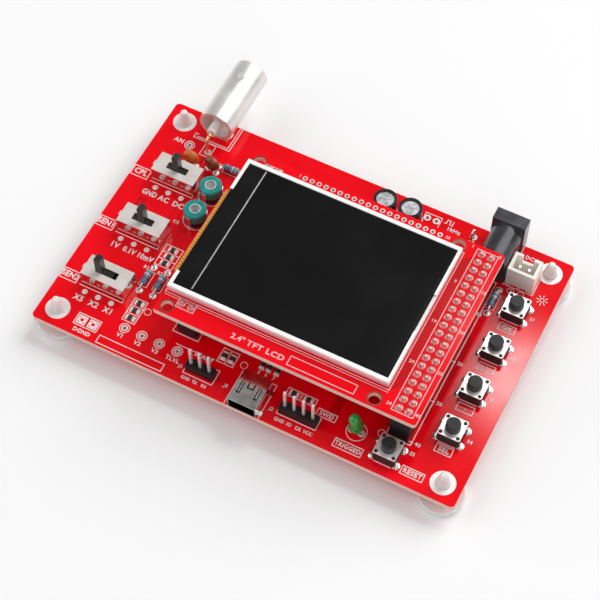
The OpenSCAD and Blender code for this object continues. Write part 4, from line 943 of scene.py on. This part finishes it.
DISPLAY_INK = DISPLAY_TOP + INK
boxes = [(8.8, -27.5, 26.6, -24.9), (-27.15, -22.65, 33.75, 20.9), (-22.9, -25.35, -18.1, -22.75),
         (-22.9, 21.15, -18.1, 22.6)]
lines = [[(36.3, -27.0), (36.3, 23.6), (41.9, 23.6), (41.9, -27.0), (36.3, -27.0)]]
rows = [('2.4"', -5.0, -26.4, 1.5), ("TFT LCD", 2.6, -26.5, 1.5, 1.15), ("1", 34.9, 23.7, 0.9),
        ("2", 42.3, 23.7, 0.9), ("1", -13.4, 23.2, 0.85), ("20", 28.2, 23.2, 0.85)]
for pin in (9, 19, 29, 39):
    y = PLUG_YS[19 - pin // 2]
    rows += [(str(pin), 35.2, y, 0.9), (str(pin + 1), 42.75, y, 0.9)]
art = outlines(boxes, THIN, DISPLAY_INK) + paths(lines, THIN, DISPLAY_INK) + words(rows, DISPLAY_INK)
art += path([(-27.0, -23.3), (33.7, -23.3)], THIN * 0.8, DISPLAY_INK)
finish_flat("display_board_legend", art, INK, "display_module", ROSE_INK)

# -------- small chip parts

def bar_at_origin(*corners_and_edge):
    """The same moulded block, measured from the origin, so that it can be copied to its places."""
    block = bar(*corners_and_edge)
    block.data.transform(Matrix.Translation(-spot(0, 0, 0)))
    return block


def lay_chips(name, places, size, body_finish):
    """Chip parts of one size: bodies, the soldered caps on their ends and the pads under the caps."""
    length, width, height, cap = size
    half, side = length / 2, width / 2
    end = half - cap * 0.8
    body = bar_at_origin(-end, -side + 0.02, 0.02, end, side - 0.02, height - 0.02, 0.03)
    finish_piece(join(name, copy_to(body, places)), "main_unit", body_finish)
    caps, lands = ("_caps", 0, 0, height, 0.05), ("_pads", 0.35, 0.15, 0.06, 0.02)
    for suffix, beyond, beside, top, edge in (caps, lands):
        left = bar_at_origin(-half - beyond, -side - beside, 0, -half + cap, side + beside, top, edge)
        right = bar_at_origin(half - cap, -side - beside, 0, half + beyond, side + beside, top, edge)
        ends = join(name + suffix, copy_to(left, places) + copy_to(right, places))
        finish_piece(ends, "main_unit", PAD_TIN)


resistor_chips = [(-35.95, y, 0, 0) for y in (-4.8, -7.0, -9.2)]
resistor_chips += [(-35.7, y, 0, 0) for y in (-22.65, -24.95, -27.3)]
resistor_chips += [(11.05, -27.75, 0, 0), (15.0, -27.75, 0, 0), (-9.3, -26.15, 0, 90), (-7.1, -26.15, 0, 90)]
resistor_chips += [(x, -24.1, 0, 90) for x in (0.5, 2.4, 4.6)]
resistor_chips += [(-14 + 3.0 * i, -13.2, 0, 0) for i in range(5)]
resistor_chips += [(2.0 + 3.2 * i, 2.2, 0, 90) for i in range(5)]
lay_chips("chip_resistors", resistor_chips, (2.0, 1.2, 0.55, 0.4), CHIP_BLACK)
capacitor_chips = [(x, y, 0, 90) for x, y in (
    (-19.5, 2.5), (-19.5, -4.5), (-7.5, -1.5), (-7.5, -7.5), (2.2, -4.0), (2.2, -8.0), (14.0, -4.0),
    (14.0, -9.0), (16.2, -2.0), (16.2, 4.8), (34.0, 16.6))]
lay_chips("chip_capacitors", capacitor_chips, (2.0, 1.25, 0.85, 0.42), CHIP_CERAMIC)

# -------- colour bands on the resistors

def band_finish(name, colour):
    # The lighter tone for the edges is partly wear and partly painted highlight.
    dark, edge_wear_and_highlight_tone = tuple(c * 0.75 for c in colour), tuple(min(1.0, c + 0.1) for c in colour)
    return plain_finish(name, colour, dark, edge_wear_and_highlight_tone, (0.2, 0.32), coat=0.4, fine=3000, coarse=900, radius=0.05)


def band_template(radius, width, along):
    """A painted ring round a body that lies along X."""
    bpy.ops.mesh.primitive_cylinder_add(
        vertices=24, radius=radius * MM, depth=width * MM, end_fill_type="NOTHING",
        location=(along * MM, 0, 1.1 * MM), rotation=(0, math.pi / 2, 0))
    band = bpy.context.object
    settle(band)
    return thicken(band, 0.03)


# Name, colour, outer radius, width and place along the body.
BANDS = [("band_brown", (0.16, 0.05, 0.02), 1.005, 0.35, -1.5),
         ("band_black", (0.02, 0.02, 0.02), 0.905, 0.3, -0.75),
         ("band_red", (0.55, 0.03, 0.02), 0.905, 0.3, -0.1),
         ("band_pale", (0.80, 0.80, 0.74), 0.905, 0.28, 0.5),
         ("band_gold", (0.62, 0.42, 0.12), 1.005, 0.35, 1.5)]
for name, colour, *shape in BANDS:
    places = [(x, y, 0, turn) for x, y, turn in RESISTORS]
    bands = join("resistor_" + name, copy_to(band_template(*shape), places))
    bpy.ops.object.shade_smooth_by_angle(angle=math.radians(40))
    finish_piece(bands, "main_unit", band_finish(name, colour))

# -------- details on the larger parts

def height_on_board(node):
    return (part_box(node)[1].z - BOARD_HIGH.z) / MM


def sleeve_stripe():
    """The pale stripe down the left of a sleeve."""
    bpy.ops.mesh.primitive_cylinder_add(
        vertices=48, radius=3.17 * MM, depth=5.6 * MM, end_fill_type="NOTHING", location=(0, 0, 3.4 * MM))
    stripe = bpy.context.object
    settle(stripe)
    edit_all()
    bpy.ops.mesh.bisect(plane_co=(-2.55 * MM, 0, 0), plane_no=(-1, 0, 0), clear_inner=True)
    object_mode()
    return thicken(stripe, 0.02)


def trimmer_strap(x, y, turn):
    """A metal strap that climbs the side of a trimmer."""
    angle = math.radians(turn)
    bpy.ops.mesh.primitive_cube_add(size=1, rotation=(0, 0, angle),
                                    location=spot(x + 3.1 * math.cos(angle), y + 3.1 * math.sin(angle), 2.2))
    strap = bpy.context.object
    strap.scale = (0.22 * MM, 1.3 * MM, 4.1 * MM)
    settle(strap)
    return break_edges(strap, 0.07)


def panel_sheet(name, x0, y0, x1, y1, thickness, material):
    """A thin sheet that lies on the glass."""
    middle = spot((x0 + x1) / 2, (y0 + y1) / 2, GLASS_TOP + thickness)
    bpy.ops.mesh.primitive_plane_add(size=1, location=middle)
    sheet = bpy.context.object
    sheet.scale = ((x1 - x0) * MM, (y1 - y0) * MM, 1)
    settle(sheet)
    edit_all()
    bpy.ops.mesh.subdivide(number_cuts=2)
    object_mode()
    thicken(sheet, thickness)
    sheet.name = name
    return finish_piece(sheet, "display_module", material)


SCORE_SHADE = plain_finish(
    "score_shade", (0.30, 0.30, 0.33), (0.2, 0.2, 0.22), (0.5, 0.5, 0.5), (0.3, 0.45),
    metallic=0.8, fine=3000, coarse=600, radius=0.02)
STRIPE_GREY = plain_finish(
    "stripe_grey", (0.62, 0.62, 0.66), (0.5, 0.5, 0.54), (0.7, 0.7, 0.7), (0.2, 0.34),
    coat=0.3, fine=2600, coarse=400, radius=0.05)
SEAL_SILVER = plain_finish(
    "seal_silver", (0.72, 0.72, 0.70), (0.55, 0.55, 0.54), (0.8, 0.8, 0.8), (0.3, 0.4),
    metallic=0.3, fine=3000, coarse=500, radius=0.02)
COVER_TAPE = plain_finish(
    "cover_tape", (0.005, 0.005, 0.005), (0.003, 0.003, 0.003), (0.04, 0.045, 0.05), (0.20, 0.26),
    specular=0.28, fine=1400, coarse=90, radius=0.10, bump=0.03)

# Scored vents: three lines that cross on each can.
SCORE_REACH, SCORE_WIDTH, SCORE_DEPTH = 1.4, 0.10, 0.02
scores = []
for x, y in ELECTROLYTICS:
    for turn in (20, 80, 140):
        dx, dy = SCORE_REACH * math.cos(math.radians(turn)), SCORE_REACH * math.sin(math.radians(turn))
        scores.append([(x - dx, y - dy), (x + dx, y + dy)])
scores = paths(scores, SCORE_WIDTH, height_on_board("electrolytic_cans") + SCORE_DEPTH)
finish_flat("can_vent_scores", scores, SCORE_DEPTH, "main_unit", SCORE_SHADE)

# The shrunk edge of each sleeve, turned in over the rim of its can.
RIM_T = 0.16
rim = break_edges(thicken(ring(3.14, 2.35, 48), RIM_T), 0.05)
rim_places = raised(ELECTROLYTICS, height_on_board("electrolytic_sleeves") + RIM_T)
finish_piece(join("sleeve_rims", copy_to(rim, rim_places)), "main_unit", SLEEVE_BLACK)
stripes = join("sleeve_stripes", copy_to(sleeve_stripe(), raised(ELECTROLYTICS, 0)))
finish_piece(stripes, "main_unit", STRIPE_GREY)

# The pale ring on top of each trimmer, and its straps.
pale_rings = copy_to(ring(1.50, 1.24, 32), raised(TRIMMERS, 5.05))
finish_flat("trimmer_rims", pale_rings, 0.06, "main_unit", KEY_TIN)
straps = join("trimmer_straps", [trimmer_strap(x, y, turn) for x, y in TRIMMERS for turn in (262, 18)])
finish_piece(straps, "main_unit", TIN)

GLASS_TOP = height_on_board("lcd_glass")
SEAL_X = -21.0
TAPE_X = SEAL_X - 0.08
panel_sheet("panel_polariser", -20.6, -20.6, 32.0, 19.2, 0.06, DISPLAY_GLASS)
panel_sheet("panel_seal_line", SEAL_X - 0.02, -20.4, SEAL_X + 0.24, 19.0, 0.09, SEAL_SILVER)
cover_tape = bar(-26.45, -19.2, GLASS_TOP, TAPE_X, 17.6, GLASS_TOP + 0.2, 0.04)
cover_tape.name = "panel_cover_tape"
finish_piece(cover_tape, "display_module", COVER_TAPE)
panel_sheet("panel_cover_tape_ends", -25.85, -21.0, TAPE_X, 19.3, 0.05, COVER_TAPE)

# -------- floor, light and camera

bpy.ops.mesh.primitive_plane_add(size=6, location=(0, 0, -0.00002))
floor = bpy.context.object
floor.name = "floor"
floor.data.materials.append(plain_finish(
    "pale_floor", (0.93, 0.93, 0.93), (0.915, 0.915, 0.915), (0.93, 0.93, 0.93), (0.55, 0.65),
    fine=300, coarse=3, radius=0.01, bump=0.02))

scene = bpy.context.scene
scene.view_settings.view_transform = "Standard"
world = bpy.data.worlds.new("studio")
scene.world = world
world.use_nodes = True
world.node_tree.nodes["Background"].inputs["Color"].default_value = (1.0, 1.0, 1.0, 1)
world.node_tree.nodes["Background"].inputs["Strength"].default_value = 0.30


def wide_light(name, toward, angle, strength):
    """A broad soft light that shines from one direction."""
    bpy.ops.object.light_add(type="SUN")
    lamp = bpy.context.object
    lamp.name = name
    lamp.data.angle = math.radians(angle)
    lamp.data.energy = strength
    lamp.rotation_euler = Vector(toward).to_track_quat("Z", "Y").to_euler()


wide_light("right_front_light", (0.60, -0.50, 0.62), 60, 0.7)
wide_light("left_front_light", (-0.80, -0.25, 0.55), 60, 1.0)
wide_light("back_light", (0.35, 0.75, 0.62), 50, 2.0)

SHEEN_PLACE, SHEEN_SPOT = spot(11, 216, 392), spot(57.7, 0.3, 0)
bpy.ops.object.light_add(type="AREA", location=SHEEN_PLACE)
sheen = bpy.context.object
sheen.name = "sheen_softbox"
sheen.data.shape = "DISK"
sheen.data.size = 0.04
sheen.data.energy = 0.14
sheen.rotation_euler = (SHEEN_PLACE - SHEEN_SPOT).to_track_quat("Z", "Y").to_euler()

camera_data = bpy.data.cameras.new("camera")
camera = bpy.data.objects.new("camera", camera_data)
scene.collection.objects.link(camera)
camera_data.lens = 101.25
camera_data.sensor_width = 36
camera_data.clip_start = 0.01
camera_data.clip_end = 10
camera.location = spot(101.294, -201.371, 366.221)
forward = Vector((-0.23634, 0.46265, -0.85446)).normalized()
camera.rotation_mode = "QUATERNION"
camera.rotation_quaternion = forward.to_track_quat("-Z", "Y")
scene.camera = camera
